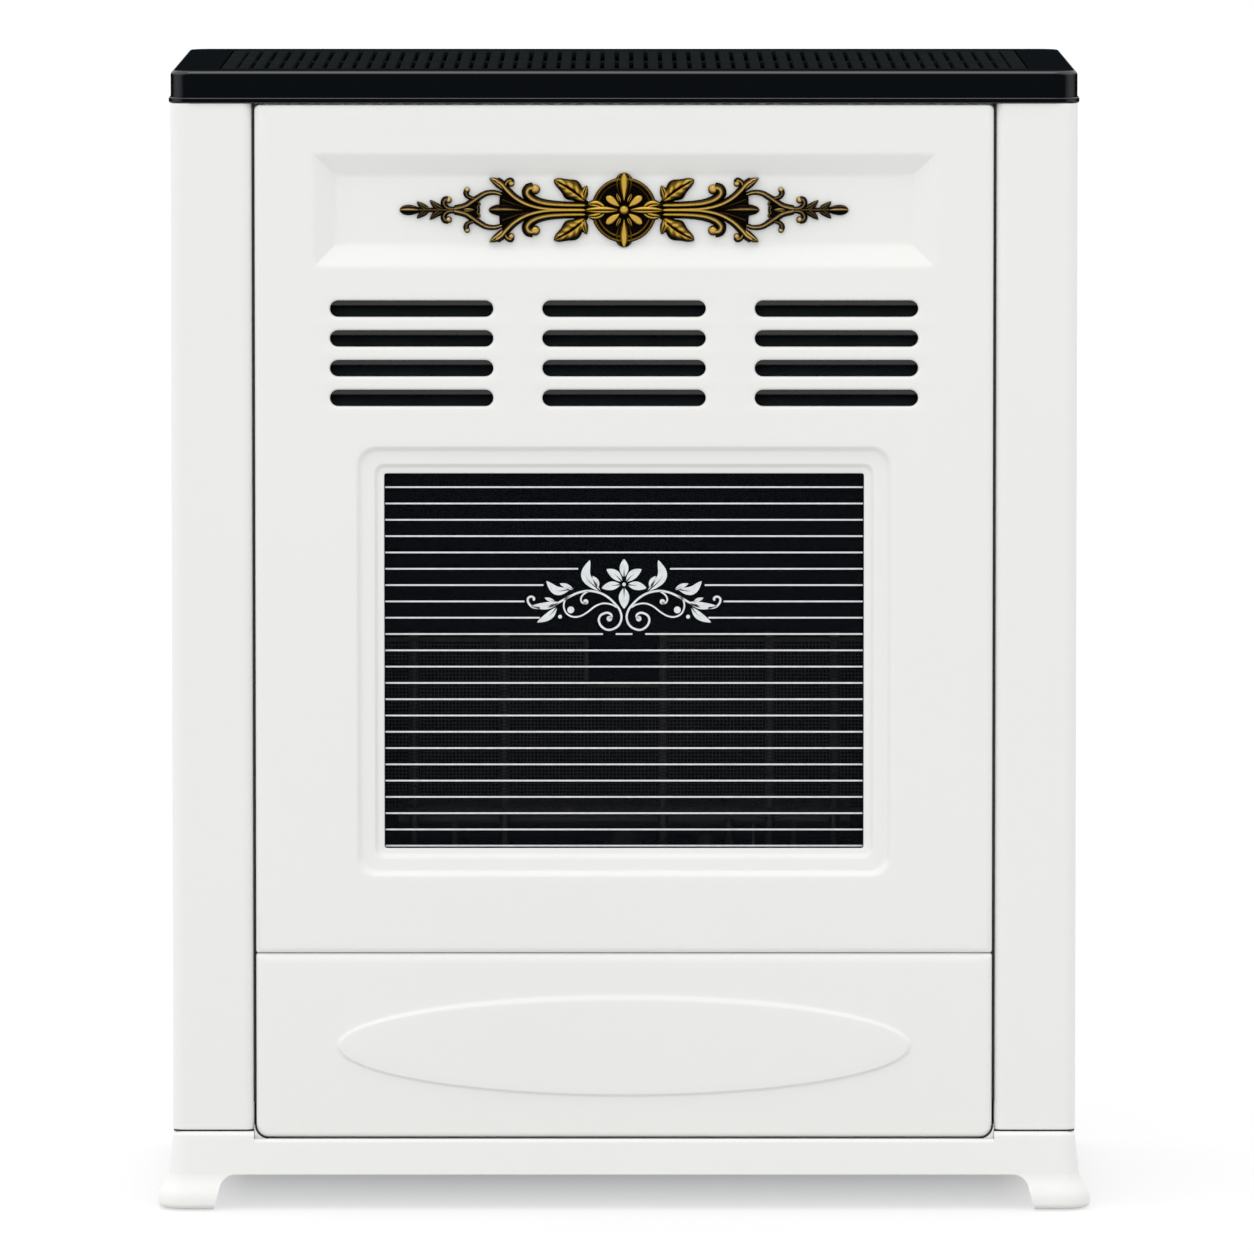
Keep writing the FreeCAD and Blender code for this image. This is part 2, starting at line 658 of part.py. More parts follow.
def floor_pan():
    inside = HALF_WIDTH - PLINTH_WALL - PAN_MARGIN
    y = (FRONT + PAN_SETBACK, REAR - PLINTH_WALL - PAN_MARGIN)
    return box((-inside, inside), y, (PLINTH_FLANGE_TOP, PAN_TOP)).cut(screw_holes(0, PAN_TOP + PAST))


# Side, rear and front casing


def right_side_panel():
    """Folded sheet: front column, outer side and rear return, open towards the middle."""
    back = REAR - SHEET
    inner_x = HALF_WIDTH - COLUMN_WIDTH
    plan = corners_of((inner_x, HALF_WIDTH), (FRONT, back))
    rounds = [COLUMN_INNER_ROUND, COLUMN_OUTER_ROUND, REAR_ROUND, 0]
    height = COVER_BOTTOM - COLUMN_BOTTOM
    outer = slab(outline(plan, rounds, at_height(COLUMN_BOTTOM)), (0, 0, height))
    hollow_plan = corners_of((inner_x + SHEET, HALF_WIDTH - SHEET), (FRONT + SHEET, back - SHEET))
    hollow_rounds = [max(r - SHEET, 0) for r in rounds]
    hollow = slab(outline(hollow_plan, hollow_rounds, at_height(COLUMN_BOTTOM)), (0, 0, height))
    open_side = box((inner_x - 1, inner_x + SHEET), (FRONT + COLUMN_RETURN, REAR), (0, OVERALL_HEIGHT))
    open_rear = box((inner_x - 1, HALF_WIDTH - REAR_RETURN), (back - SHEET - 1, REAR), (0, OVERALL_HEIGHT))
    panel = outer.cut(hollow).cut(open_side).cut(open_rear)
    for x, z in rear_screw_places():
        if x > 0:
            hole = SCREW_RADIUS + SCREW_HOLE_CLEARANCE
            panel = panel.cut(rod((x, back - PAST, z), (x, REAR, z), hole))
    return panel


def left_side_panel():
    return mirrored(right_side_panel())


def rear_screw_places():
    """Rear screws sit on the side panels' rear returns."""
    x = HALF_WIDTH - REAR_RETURN / 2
    low = COLUMN_BOTTOM + REAR_RETURN
    high = COVER_BOTTOM - REAR_RETURN
    step = (high - low) / (REAR_SCREW_ROWS - 1)
    heights = [low + step * i for i in range(REAR_SCREW_ROWS)]
    return [(side * x, z) for side in (-1, 1) for z in heights]


def rear_panel():
    """Back sheet with the flue hole, the gas pipe hole and two banks of air slots."""
    half = HALF_WIDTH - REAR_ROUND
    y = (REAR - SHEET, REAR)
    sheet = front_plate((-half, half), (COLUMN_BOTTOM, PANEL_TOP), y, REAR_ROUND)
    holes = [flue_bar((REAR - PAST, REAR + PAST), FLUE_RADIUS + FLUE_HOLE_CLEARANCE)]
    holes.append(rod((INLET_X, REAR - PAST, KNOB_HEIGHT), (INLET_X, REAR + PAST, KNOB_HEIGHT),
                     INLET_NECK_RADIUS + SCREW_HOLE_CLEARANCE))
    for x, z in rear_screw_places():
        hole = SCREW_RADIUS + SCREW_HOLE_CLEARANCE
        holes.append(rod((x, REAR - PAST, z), (x, REAR + PAST, z), hole))
    for row in range(REAR_SLOT_ROWS):
        z = FIREBOX_BOTTOM + row * SLOT_ROW_PITCH
        for x in (-OUTER_SLOT_X, 0, OUTER_SLOT_X):
            holes.append(slot(x, z, (REAR - PAST, REAR + PAST), 0))
    return sheet.cut(Part.makeCompound(holes))


def rear_panel_screws():
    screws = []
    for x, z in rear_screw_places():
        head = rod((x, REAR, z), (x, REAR + SCREW_HEAD_HEIGHT, z), SCREW_HEAD_RADIUS)
        shank = rod((x, REAR - SCREW_LENGTH, z), (x, REAR + 1, z), SCREW_RADIUS)
        screws.append(fused([head, shank]))
    return Part.makeCompound(screws)


def slot(x, z, y, margin):
    """Bar with fully round ends, as long as a vent slot, grown by a margin."""
    half = SLOT_LENGTH / 2 + margin
    radius = SLOT_HEIGHT / 2 + margin
    points = corners_of((x - half, x + half), (z - radius, z + radius))
    return slab(outline(points, [radius] * 4, at_depth(y[0])), (0, y[1] - y[0], 0))


def slot_places():
    """Middle of each vent slot in the front view."""
    return [(SLOT_COLUMN_PITCH * column - OUTER_SLOT_X, SLOT_TOP_ROW - SLOT_ROW_PITCH * row)
            for column in range(SLOT_COLUMNS) for row in range(SLOT_ROWS)]


def clip_places():
    """Middle of each glass clip's stud in the front view."""
    x = WINDOW_HALF_WIDTH + OUTER_STEP_MARGIN + CLIP_CLEAR_OF_STEP + CLIP_FOOT / 2
    middle = (WINDOW_BOTTOM + WINDOW_TOP) / 2
    return [(side * x, middle + rise * CLIP_SPACING / 2) for side in (-1, 1) for rise in (-1, 1)]


def peg_places():
    """Middle of each ornament peg in the front view."""
    return [(-ORNAMENT_PEG_X, RECESS_MIDDLE), (ORNAMENT_PEG_X, RECESS_MIDDLE)]


def front_panel():
    """Pressed sheet with a sunk recess, rimmed vent slots and a stepped window opening."""
    x = (-PANEL_HALF_WIDTH, PANEL_HALF_WIDTH)
    panel = tray(x, (PANEL_BOTTOM, PANEL_TOP), PANEL_DEPTH, EDGE_ROUND)
    recess_x = (-RECESS_HALF_WIDTH, RECESS_HALF_WIDTH)
    recess_z = (RECESS_BOTTOM, RECESS_TOP)
    window_x = (-WINDOW_HALF_WIDTH, WINDOW_HALF_WIDTH)
    window_z = (WINDOW_BOTTOM, WINDOW_TOP)
    outer_floor = FRONT + OUTER_STEP_DEPTH
    inner_floor = outer_floor + INNER_STEP_DEPTH
    backs = [
        pressing(grown(recess_x, SHEET), grown(recess_z, SHEET), RECESS_BEVEL,
                 (FRONT + SHEET / 2, RECESS_FLOOR + SHEET), 0),
        pressing(grown(window_x, OUTER_STEP_MARGIN + SHEET), grown(window_z, OUTER_STEP_MARGIN + SHEET),
                 OUTER_STEP_SLOPE, (FRONT + SHEET / 2, outer_floor + SHEET), OUTER_STEP_CORNER + SHEET),
        pressing(grown(window_x, INNER_STEP_MARGIN + SHEET), grown(window_z, INNER_STEP_MARGIN + SHEET),
                 INNER_STEP_SLOPE, (outer_floor + SHEET / 2, inner_floor + SHEET),
                 INNER_STEP_CORNER + SHEET),
    ]
    sheet_back = FRONT + SHEET
    rims = [slot(sx, sz, (FRONT + SHEET / 2, sheet_back + SLOT_RIM), SHEET) for sx, sz in slot_places()]
    studs = [rod((sx, FRONT + SHEET / 2, sz), (sx, sheet_back + CLIP_STUD_LENGTH, sz), CLIP_STUD_RADIUS)
             for sx, sz in clip_places()]
    panel = fused([panel] + backs + rims + studs)
    pockets = [
        pressing(recess_x, recess_z, RECESS_BEVEL, (FRONT, RECESS_FLOOR), 0),
        pressing(grown(window_x, OUTER_STEP_MARGIN), grown(window_z, OUTER_STEP_MARGIN), OUTER_STEP_SLOPE,
                 (FRONT, outer_floor), OUTER_STEP_CORNER),
        pressing(grown(window_x, INNER_STEP_MARGIN), grown(window_z, INNER_STEP_MARGIN), INNER_STEP_SLOPE,
                 (outer_floor, inner_floor), INNER_STEP_CORNER),
        front_plate(window_x, window_z, (FRONT, FRONT + PAST), WINDOW_CORNER),
    ]
    pockets += [slot(sx, sz, (FRONT - 1, FRONT + PAST), 0) for sx, sz in slot_places()]
    hole = ORNAMENT_PEG_RADIUS + ORNAMENT_PEG_CLEARANCE
    pockets += [rod((px, FRONT, pz), (px, FRONT + PAST, pz), hole) for px, pz in peg_places()]
    for pocket in pockets:
        panel = panel.cut(pocket)
    return panel


# Lower door


def ellipse_wire(half_width, half_height, y):
    """Ellipse in the front view, centred on the raised pad of the door."""
    curve = Part.Ellipse(V(0, 0, 0), half_width, half_height).toShape()
    curve.rotate(V(0, 0, 0), V(1, 0, 0), 90)
    curve.translate(V(0, y, DOOR_BOTTOM + ELLIPSE_ABOVE_BOTTOM))
    return Part.Wire(curve)


def raised_ellipse(shrink, front, back):
    """Low oval pad whose edge slopes up to its top."""
    foot = ellipse_wire(ELLIPSE_HALF_WIDTH - shrink, ELLIPSE_HALF_HEIGHT - shrink, back)
    top = ellipse_wire(ELLIPSE_HALF_WIDTH - ELLIPSE_SLOPE - shrink,
                       ELLIPSE_HALF_HEIGHT - ELLIPSE_SLOPE - shrink, front)
    return Part.makeLoft([foot, top], True, True)


def arm_span():
    """Across the right hinge arm, from its inner to its outer face."""
    inner = HINGE_X + HINGE_LEAF_THICKNESS / 2 + HINGE_SIDE_GAP
    return (inner, inner + HINGE_ARM_THICKNESS)


def lower_door():
    """Drop-down door with a raised oval and a notch in its bottom flange for each hinge arm."""
    door = tray((-PANEL_HALF_WIDTH, PANEL_HALF_WIDTH), (DOOR_BOTTOM, DOOR_TOP), DOOR_DEPTH, DOOR_CORNER)
    door = fused([door, raised_ellipse(0, FRONT - ELLIPSE_RISE, FRONT)])
    door = door.cut(raised_ellipse(SHEET, FRONT - ELLIPSE_RISE + SHEET, FRONT + SHEET))
    notch_y = (FRONT + EDGE_ROUND, FRONT + DOOR_DEPTH + 1)
    notch_z = (DOOR_BOTTOM - 1, DOOR_BOTTOM + SHEET + 1)
    notch = box(grown(arm_span(), 2 * HINGE_SIDE_GAP), notch_y, notch_z)
    return door.cut(notch).cut(mirrored(notch))


def door_hinge_leaves():
    x = (HINGE_X - HINGE_LEAF_THICKNESS / 2, HINGE_X + HINGE_LEAF_THICKNESS / 2)
    bottom = DOOR_BOTTOM + SHEET
    low_round = EDGE_ROUND
    points = corners_of((FRONT + SHEET, FRONT + DOOR_DEPTH), (bottom, bottom + HINGE_LEAF_HEIGHT))
    leaf = slab(outline(points, [low_round, 0, HINGE_ARM_RADIUS, 0], at_side(x[0])), (x[1] - x[0], 0, 0))
    ends = ((x[0] - 1, HINGE_Y, HINGE_Z), (x[1] + 1, HINGE_Y, HINGE_Z))
    leaf = leaf.cut(rod(*ends, HINGE_PIN_RADIUS + HINGE_CLEARANCE))
    return Part.makeCompound([leaf, mirrored(leaf)])


def hinge_brackets():
    """Arms that reach forward from feet on the floor pan and carry the hinge pins."""
    x = arm_span()
    width = x[1] - x[0]
    heel = HINGE_Y + HINGE_ARM_REACH
    points = [(HINGE_Y, HINGE_Z - HINGE_ARM_RADIUS), (heel, HINGE_Z - HINGE_ARM_RADIUS), (heel, PAN_TOP),
              (heel + HINGE_FOOT_LENGTH, PAN_TOP), (heel + HINGE_FOOT_LENGTH, HINGE_Z + HINGE_ARM_RADIUS),
              (HINGE_Y, HINGE_Z + HINGE_ARM_RADIUS)]
    arm = slab(outline(points, [0] * 6, at_side(x[0])), (width, 0, 0))
    eye = rod((x[0], HINGE_Y, HINGE_Z), (x[1], HINGE_Y, HINGE_Z), HINGE_ARM_RADIUS)
    foot_y = (heel, heel + HINGE_FOOT_LENGTH)
    foot = box((x[0], x[0] + HINGE_FOOT_WIDTH), foot_y, (PAN_TOP, PAN_TOP + SHEET))
    bracket = fused([arm, eye, foot])
    hole = rod((x[0] - 1, HINGE_Y, HINGE_Z), (x[1] + 1, HINGE_Y, HINGE_Z), HINGE_PIN_RADIUS)
    bracket = bracket.cut(hole)
    return Part.makeCompound([bracket, mirrored(bracket)])


def hinge_pins():
    start = HINGE_X - HINGE_LEAF_THICKNESS / 2 - 2 * HINGE_SIDE_GAP
    pin = rod((start, HINGE_Y, HINGE_Z), (arm_span()[1], HINGE_Y, HINGE_Z), HINGE_PIN_RADIUS)
    return Part.makeCompound([pin, mirrored(pin)])


def door_catch():
    """Magnet block on the front rail."""
    z = (DOOR_TOP - CATCH_BELOW_TOP, DOOR_TOP - CATCH_BELOW_TOP + CATCH_HEIGHT)
    front = FRONT + DOOR_DEPTH + 1
    return front_plate((-CATCH_WIDTH / 2, CATCH_WIDTH / 2), z, (front, FRONT + RAIL_SETBACK), 2 * SHEET)


def door_striker():
    """Steel tab that hangs from the door's top flange in front of the magnet."""
    back = FRONT + DOOR_DEPTH + 1 - CATCH_GAP
    z = (DOOR_TOP - CATCH_BELOW_TOP, DOOR_TOP - SHEET)
    foot_depth = DOOR_DEPTH / 2
    x = (-CATCH_WIDTH / 2, CATCH_WIDTH / 2)
    tab = box(x, (back - SHEET, back), z)
    foot = box(x, (back - foot_depth, back), (z[1] - SHEET, z[1]))
    return fused([tab, foot])


def front_rail():
    """Cross rail behind the seam, with a lip under the front panel's bottom flange."""
    end = HALF_WIDTH - SHEET
    y = FRONT + RAIL_SETBACK
    web = box((-end, end), (y, y + SHEET), (PANEL_BOTTOM - RAIL_DROP, PANEL_BOTTOM + RAIL_RISE))
    lip_half = PANEL_HALF_WIDTH - SHEET
    lip = box((-lip_half, lip_half), (FRONT + DOOR_DEPTH + 1, y), (PANEL_BOTTOM - SHEET, PANEL_BOTTOM))
    return fused([web, lip])


def top_rail():
    """Cross rail under the top cover, behind the front panel's top flange."""
    end = HALF_WIDTH - SHEET
    y = FRONT + PANEL_DEPTH
    return box((-end, end), (y, y + SHEET), (PANEL_TOP - TOP_RAIL_HEIGHT, PANEL_TOP))


# Window


def glass_gasket():
    """Soft frame between the window seat and the glass."""
    x = (-WINDOW_HALF_WIDTH, WINDOW_HALF_WIDTH)
    z = (WINDOW_BOTTOM, WINDOW_TOP)
    y = (WINDOW_SEAT, GLASS_FRONT)
    frame = front_plate(grown(x, GLASS_LAP), grown(z, GLASS_LAP), y, WINDOW_CORNER)
    hole = front_plate(grown(x, GASKET_INSET), grown(z, GASKET_INSET), grown(y, PAST), WINDOW_CORNER)
    return frame.cut(hole)


def window_glass():
    x = (-WINDOW_HALF_WIDTH - GLASS_LAP, WINDOW_HALF_WIDTH + GLASS_LAP)
    z = (WINDOW_BOTTOM - GLASS_LAP, WINDOW_TOP + GLASS_LAP)
    return front_plate(x, z, (GLASS_FRONT, GLASS_BACK), WINDOW_CORNER)


def glass_clips():
    """Bent strips from the panel's back to the glass, one on each stud."""
    inner = WINDOW_HALF_WIDTH + OUTER_STEP_MARGIN + CLIP_CLEAR_OF_STEP
    foot_end = inner + CLIP_FOOT
    finger_end = WINDOW_HALF_WIDTH + GLASS_LAP - CLIP_LAP
    sheet_back = FRONT + SHEET
    foot_top = sheet_back + SHEET
    finger_back = GLASS_BACK + SHEET
    points = [(foot_end, sheet_back), (foot_end, foot_top), (inner + SHEET, foot_top),
              (inner + SHEET, finger_back), (finger_end, finger_back), (finger_end, GLASS_BACK),
              (inner, GLASS_BACK), (inner, sheet_back)]
    clips = []
    for x, z in clip_places():
        clip = slab(outline(points, [0] * 8, at_height(z - CLIP_WIDTH / 2)), (0, 0, CLIP_WIDTH))
        hole = CLIP_STUD_RADIUS + CLIP_HOLE_CLEARANCE
        clip = clip.cut(rod((abs(x), FRONT, z), (abs(x), sheet_back + 2 * SHEET, z), hole))
        clips.append(clip if x > 0 else mirrored(clip))
    return Part.makeCompound(clips)


def clip_nuts():
    seat = FRONT + 2 * SHEET
    nuts = []
    for x, z in clip_places():
        nut = hexagon((x, seat, z), NUT_ACROSS_FLATS, NUT_HEIGHT, (0, 1, 0))
        nuts.append(nut.cut(rod((x, seat - 1, z), (x, seat + PAST, z), CLIP_STUD_RADIUS)))
    return Part.makeCompound(nuts)


def vent_louvres():
    """Sloped blades behind the slot rows, between two end plates that stand on the panel's back."""
    places = slot_places()
    half = max(x for x, z in places) + SLOT_LENGTH / 2 + LOUVRE_MARGIN
    low = min(z for x, z in places) - SLOT_HEIGHT
    high = max(z for x, z in places) + SLOT_HEIGHT + LOUVRE_RISE
    start = FRONT + SHEET + SLOT_RIM + LOUVRE_GAP
    end = start + LOUVRE_DEPTH
    blades = []
    for z in sorted({z for x, z in places}):
        foot = z - SLOT_HEIGHT / 2
        points = [(start, foot), (end, foot + LOUVRE_RISE), (end, foot + LOUVRE_RISE + LOUVRE_BLADE),
                  (start, foot + LOUVRE_BLADE)]
        blades.append(slab(outline(points, [0] * 4, at_side(-half)), (2 * half, 0, 0)))
    plate = box((half - SHEET, half), (FRONT + SHEET, end + LOUVRE_BLADE), (low, high))
    foot = box((half - SHEET, half + LOUVRE_FOOT), (FRONT + SHEET, FRONT + 2 * SHEET), (low, high))
    side = fused([plate, foot])
    return fused([side, mirrored(side)] + blades)


# Ornament

DISC_RADIUS = 19.4
DISC_INNER_RADIUS = 16.8
DISC_THICKNESS = 2.2
RING_THICKNESS = 3.2
BEAD_RADIUS = 3.0
BEAD_THICKNESS = 6.0
PETAL_RADIUS = 5.0
PETAL_THICKNESS = 4.2
PETAL_DISTANCE = 7.7
LEAF_THICKNESS = 4.0
SCROLL_THICKNESS = 3.0

# Petal above the bead, from its root to its tip with its width
UPRIGHT_PETAL = ((0.0, 2.0), (0.0, 23.4), 9.7)

# Leaves on one side, each from its root to its tip with its width, above the middle line
SIDE_LEAVES = (
    ((18.0, 6.0), (42.9, 18.9), 9.6),
    ((21.0, 10.0), (25.5, 16.5), 4.0),
    ((60.0, 9.0), (80.0, 19.6), 5.5),
    ((62.0, 10.0), (69.0, 20.0), 5.0),
    ((112.0, 0.0), (120.0, 8.2), 4.4),
    ((120.0, 0.0), (128.5, 6.0), 4.0),
    ((62.0, 0.0), (72.0, 5.5), 4.4),
)

# Leaves that lie on the middle line, on one side
MIDDLE_LEAVES = (
    ((4.0, 0.0), (24.5, 0.0), 9.0),
    ((20.0, 0.0), (64.0, 0.0), 7.0),
    ((60.0, 0.0), (82.0, 0.0), 6.5),
    ((100.0, 0.0), (137.4, 0.0), 6.0),
)

# Curved strands on one side: start, a point on the way, end and width, above the middle line
SIDE_STRANDS = (
    ((40.0, 2.0), (53.0, 4.6), (64.0, 12.0), 3.2),
    ((52.0, 12.4), (56.5, 17.0), (61.0, 9.0), 2.8),
    ((61.0, 9.5), (59.0, 4.5), (52.0, 2.6), 2.6),
    ((64.0, 1.0), (84.0, 9.6), (104.0, 0.8), 3.2),
    ((92.0, 7.5), (98.0, 13.0), (93.5, 14.0), 2.4),
    ((104.0, 2.0), (110.5, 7.5), (106.5, 9.5), 2.4),
)

# Round ends of the scrolls: middle and radius, above the middle line
SCROLL_BALLS = (((53.5, 12.2), 2.6), ((93.0, 13.6), 2.0), ((106.2, 9.2), 2.0))


def ornament_plate(wire, thickness):
    """Flat piece of the ornament, standing forward from its back plane."""
    return Part.Face(wire).extrude(V(0, -thickness, 0))


def ornament_point(point, up=1):
    """A point of the ornament's back plane, counted from its middle."""
    return V(point[0], RECESS_FLOOR - ORNAMENT_STANDOFF, RECESS_MIDDLE + up * point[1])


def leaf(root, tip, width, up=1):
    """Pointed oval between a root and a tip."""
    first = ornament_point(root, up)
    last = ornament_point(tip, up)
    across = (last - first).normalize().cross(V(0, 1, 0)) * (width / 2)
    middle = (first + last) * 0.5
    sides = [Part.Arc(first, middle + across, last), Part.Arc(last, middle - across, first)]
    return ornament_plate(Part.Wire([side.toShape() for side in sides]), LEAF_THICKNESS)


def strand(start, middle, end, width, up=1):
    """Band of even width along an arc through three points."""
    points = [ornament_point(p, up) for p in (start, middle, end)]
    arc = Part.Arc(*points).toShape().Curve
    centre = arc.Center
    sides = []
    for shift in (width / 2, -width / 2):
        factor = 1 + shift / arc.Radius
        sides.append([centre + (p - centre) * factor for p in points])
    outer, inner = sides
    edges = [Part.Arc(*outer).toShape(), Part.makeLine(outer[2], inner[2]),
             Part.Arc(inner[2], inner[1], inner[0]).toShape(), Part.makeLine(inner[0], outer[0])]
    return ornament_plate(Part.Wire(edges), SCROLL_THICKNESS)


def disc(point, radius, thickness, up=1):
    """Round piece of the ornament."""
    centre = ornament_point(point, up)
    return Part.makeCylinder(radius, thickness, centre, V(0, -1, 0))


def ornament():
    """Cast scroll with a flower in the middle, on pegs that pass through the recess floor."""
    middle = (0, 0)
    ring_hole = disc(middle, DISC_INNER_RADIUS, RING_THICKNESS + 1)
    ring = disc(middle, DISC_RADIUS, RING_THICKNESS).cut(ring_hole)
    pieces = [disc(middle, DISC_RADIUS, DISC_THICKNESS), ring, disc(middle, BEAD_RADIUS, BEAD_THICKNESS)]
    reach = PETAL_DISTANCE * math.sqrt(0.5)
    for up in (1, -1):
        pieces.append(leaf(*UPRIGHT_PETAL, up))
        half = [disc((reach, reach), PETAL_RADIUS, PETAL_THICKNESS, up)]
        half += [leaf(root, tip, width, up) for root, tip, width in SIDE_LEAVES]
        half += [strand(start, middle, end, width, up) for start, middle, end, width in SIDE_STRANDS]
        half += [disc(point, radius, SCROLL_THICKNESS, up) for point, radius in SCROLL_BALLS]
        pieces += half + [mirrored(piece) for piece in half]
    along = [leaf(root, tip, width) for root, tip, width in MIDDLE_LEAVES]
    pieces += along + [mirrored(piece) for piece in along]
    peg_start = RECESS_FLOOR - ORNAMENT_STANDOFF - 1
    peg_end = RECESS_FLOOR + SHEET + 2 * PUSH_NUT_HEIGHT
    pieces += [rod((x, peg_start, z), (x, peg_end, z), ORNAMENT_PEG_RADIUS) for x, z in peg_places()]
    return fused(pieces)


def ornament_push_nuts():
    seat = RECESS_FLOOR + SHEET
    nuts = []
    for x, z in peg_places():
        nut = rod((x, seat, z), (x, seat + PUSH_NUT_HEIGHT, z), PUSH_NUT_RADIUS)
        nuts.append(nut.cut(rod((x, seat - 1, z), (x, seat + PAST, z), ORNAMENT_PEG_RADIUS)))
    return Part.makeCompound(nuts)


# Top cover and grille


def grille_span():
    """Low and high edges of the grille's seat, across and front to back."""
    x = HALF_WIDTH - GRILLE_SIDE_BORDER
    return (-x, x), (FRONT + GRILLE_END_BORDER, REAR - GRILLE_END_BORDER)


def top_cover():
    """Cap with a beaded lower edge, rounded shoulders and a sunk ledge for the grille."""
    x = (-HALF_WIDTH, HALF_WIDTH)
    y = (FRONT, REAR)
    top = OVERALL_HEIGHT
    shell = flat_plate(x, y, (COVER_BOTTOM, top), COVER_CORNER)
    shell = shell.makeFillet(COVER_TOP_ROUND, edges_in_plane(shell, "Z", top))
    bead_z = (COVER_BOTTOM, COVER_BOTTOM + COVER_BEAD_HEIGHT)
    bead = flat_plate(grown(x, COVER_BEAD), grown(y, COVER_BEAD), bead_z, COVER_CORNER + COVER_BEAD)
    bead_edges = edges_in_plane(bead, "Z", bead_z[0]) + edges_in_plane(bead, "Z", bead_z[1])
    bead = bead.makeFillet(COVER_BEAD_ROUND, bead_edges)
    hollow = flat_plate(grown(x, -COVER_WALL), grown(y, -COVER_WALL), (COVER_BOTTOM - 1, top - COVER_WALL),
                        COVER_CORNER - COVER_WALL)
    cover = fused([shell, bead]).cut(hollow)
    seat_x, seat_y = grille_span()
    seat = top - GRILLE_THICKNESS
    ledge_z = (seat - COVER_WALL, top - COVER_WALL / 2)
    ledge = flat_plate(grown(seat_x, COVER_WALL), grown(seat_y, COVER_WALL), ledge_z,
                       GRILLE_CORNER + COVER_WALL)
    cover = fused([cover, ledge])
    cover = cover.cut(flat_plate(seat_x, seat_y, (seat, top + 1), GRILLE_CORNER))
    opening = flat_plate(grown(seat_x, -GRILLE_LEDGE), grown(seat_y, -GRILLE_LEDGE), (seat - PAST, top),
                         GRILLE_CORNER - GRILLE_LEDGE / 2)
    return cover.cut(opening)


def top_grille():
    """Slotted plate on the cover's ledge, with bars that run front to back and a cross bar."""
    seat_x, seat_y = grille_span()
    x = grown(seat_x, -GRILLE_CLEARANCE)
    y = grown(seat_y, -GRILLE_CLEARANCE)
    z = (OVERALL_HEIGHT - GRILLE_THICKNESS, OVERALL_HEIGHT)
    plate = flat_plate(x, y, z, GRILLE_CORNER - GRILLE_CLEARANCE)
    plate = plate.makeFillet(GRILLE_EDGE_ROUND, edges_in_plane(plate, "Z", z[1]))
    field_x = grown(x, -GRILLE_FRAME)
    field_y = grown(y, -GRILLE_FRAME)
    width = GRILLE_PITCH - GRILLE_BAR
    count = int((field_x[1] - field_x[0] - width) / GRILLE_PITCH) + 1
    first = -(count - 1) * GRILLE_PITCH / 2
    middle = (field_y[0] + field_y[1]) / 2
    cross = grown((middle, middle), GRILLE_CROSS_BAR / 2)
    gaps = []
    for i in range(count):
        at = first + i * GRILLE_PITCH
        for span in ((field_y[0], cross[0]), (cross[1], field_y[1])):
            gaps.append(box((at - width / 2, at + width / 2), span, grown(z, 1)))
    return plate.cut(Part.makeCompound(gaps))


# Inner frame


def chassis_screw_places():
    """Screws through the chassis feet and the floor pan."""
    x = FIREBOX_HALF_WIDTH + SHEET + CHASSIS_FOOT / 2
    start = FRONT + CHASSIS_START
    ends = grown((start, start + CHASSIS_DEPTH), -CHASSIS_SCREW_INSET)
    return [(side * x, y) for side in (-1, 1) for y in ends]


def screw_holes(low, high):
    """Clearance holes for the chassis screws."""
    hole = SCREW_RADIUS + SCREW_HOLE_CLEARANCE
    return Part.makeCompound([rod((x, y, low), (x, y, high), hole) for x, y in chassis_screw_places()])


def right_chassis_plate():
    """Upright sheet beside the combustion box, with a foot on the floor pan."""
    y = (FRONT + CHASSIS_START, FRONT + CHASSIS_START + CHASSIS_DEPTH)
    web = box((FIREBOX_HALF_WIDTH, FIREBOX_HALF_WIDTH + SHEET), y, (PAN_TOP, FIREBOX_TOP))
    foot_x = (FIREBOX_HALF_WIDTH, FIREBOX_HALF_WIDTH + SHEET + CHASSIS_FOOT)
    foot = box(foot_x, y, (PAN_TOP, PAN_TOP + SHEET))
    return fused([web, foot]).cut(screw_holes(0, PAN_TOP + PAST))


def left_chassis_plate():
    return mirrored(right_chassis_plate())


def chassis_screws():
    screws = []
    seat = PAN_TOP + SHEET
    for x, y in chassis_screw_places():
        head = rod((x, y, seat), (x, y, seat + SCREW_HEAD_HEIGHT), SCREW_HEAD_RADIUS)
        shank = rod((x, y, seat - SCREW_LENGTH), (x, y, seat + 1), SCREW_RADIUS)
        screws.append(fused([head, shank]))
    return Part.makeCompound(screws)


# Combustion box and flue way


def hollow_box(x, y, z):
    """Sheet box, closed all round."""
    return box(x, y, z).cut(box(grown(x, -SHEET), grown(y, -SHEET), grown(z, -SHEET)))


def exchanger_span():
    """Low and high edges of the heat exchanger, across and front to back."""
    return (-EXCHANGER_HALF_WIDTH, EXCHANGER_HALF_WIDTH), (FIREBOX_FRONT + EXCHANGER_SETBACK, FIREBOX_BACK)


def pilot_hole_span():
    """Low and high edges of the pilot hole, across and front to back."""
    x = grown((PILOT_PLACES[0], PILOT_PLACES[-1]), PILOT_HOLE_MARGIN)
    return x, grown((PILOT_Y, PILOT_Y), PILOT_HOLE_MARGIN)


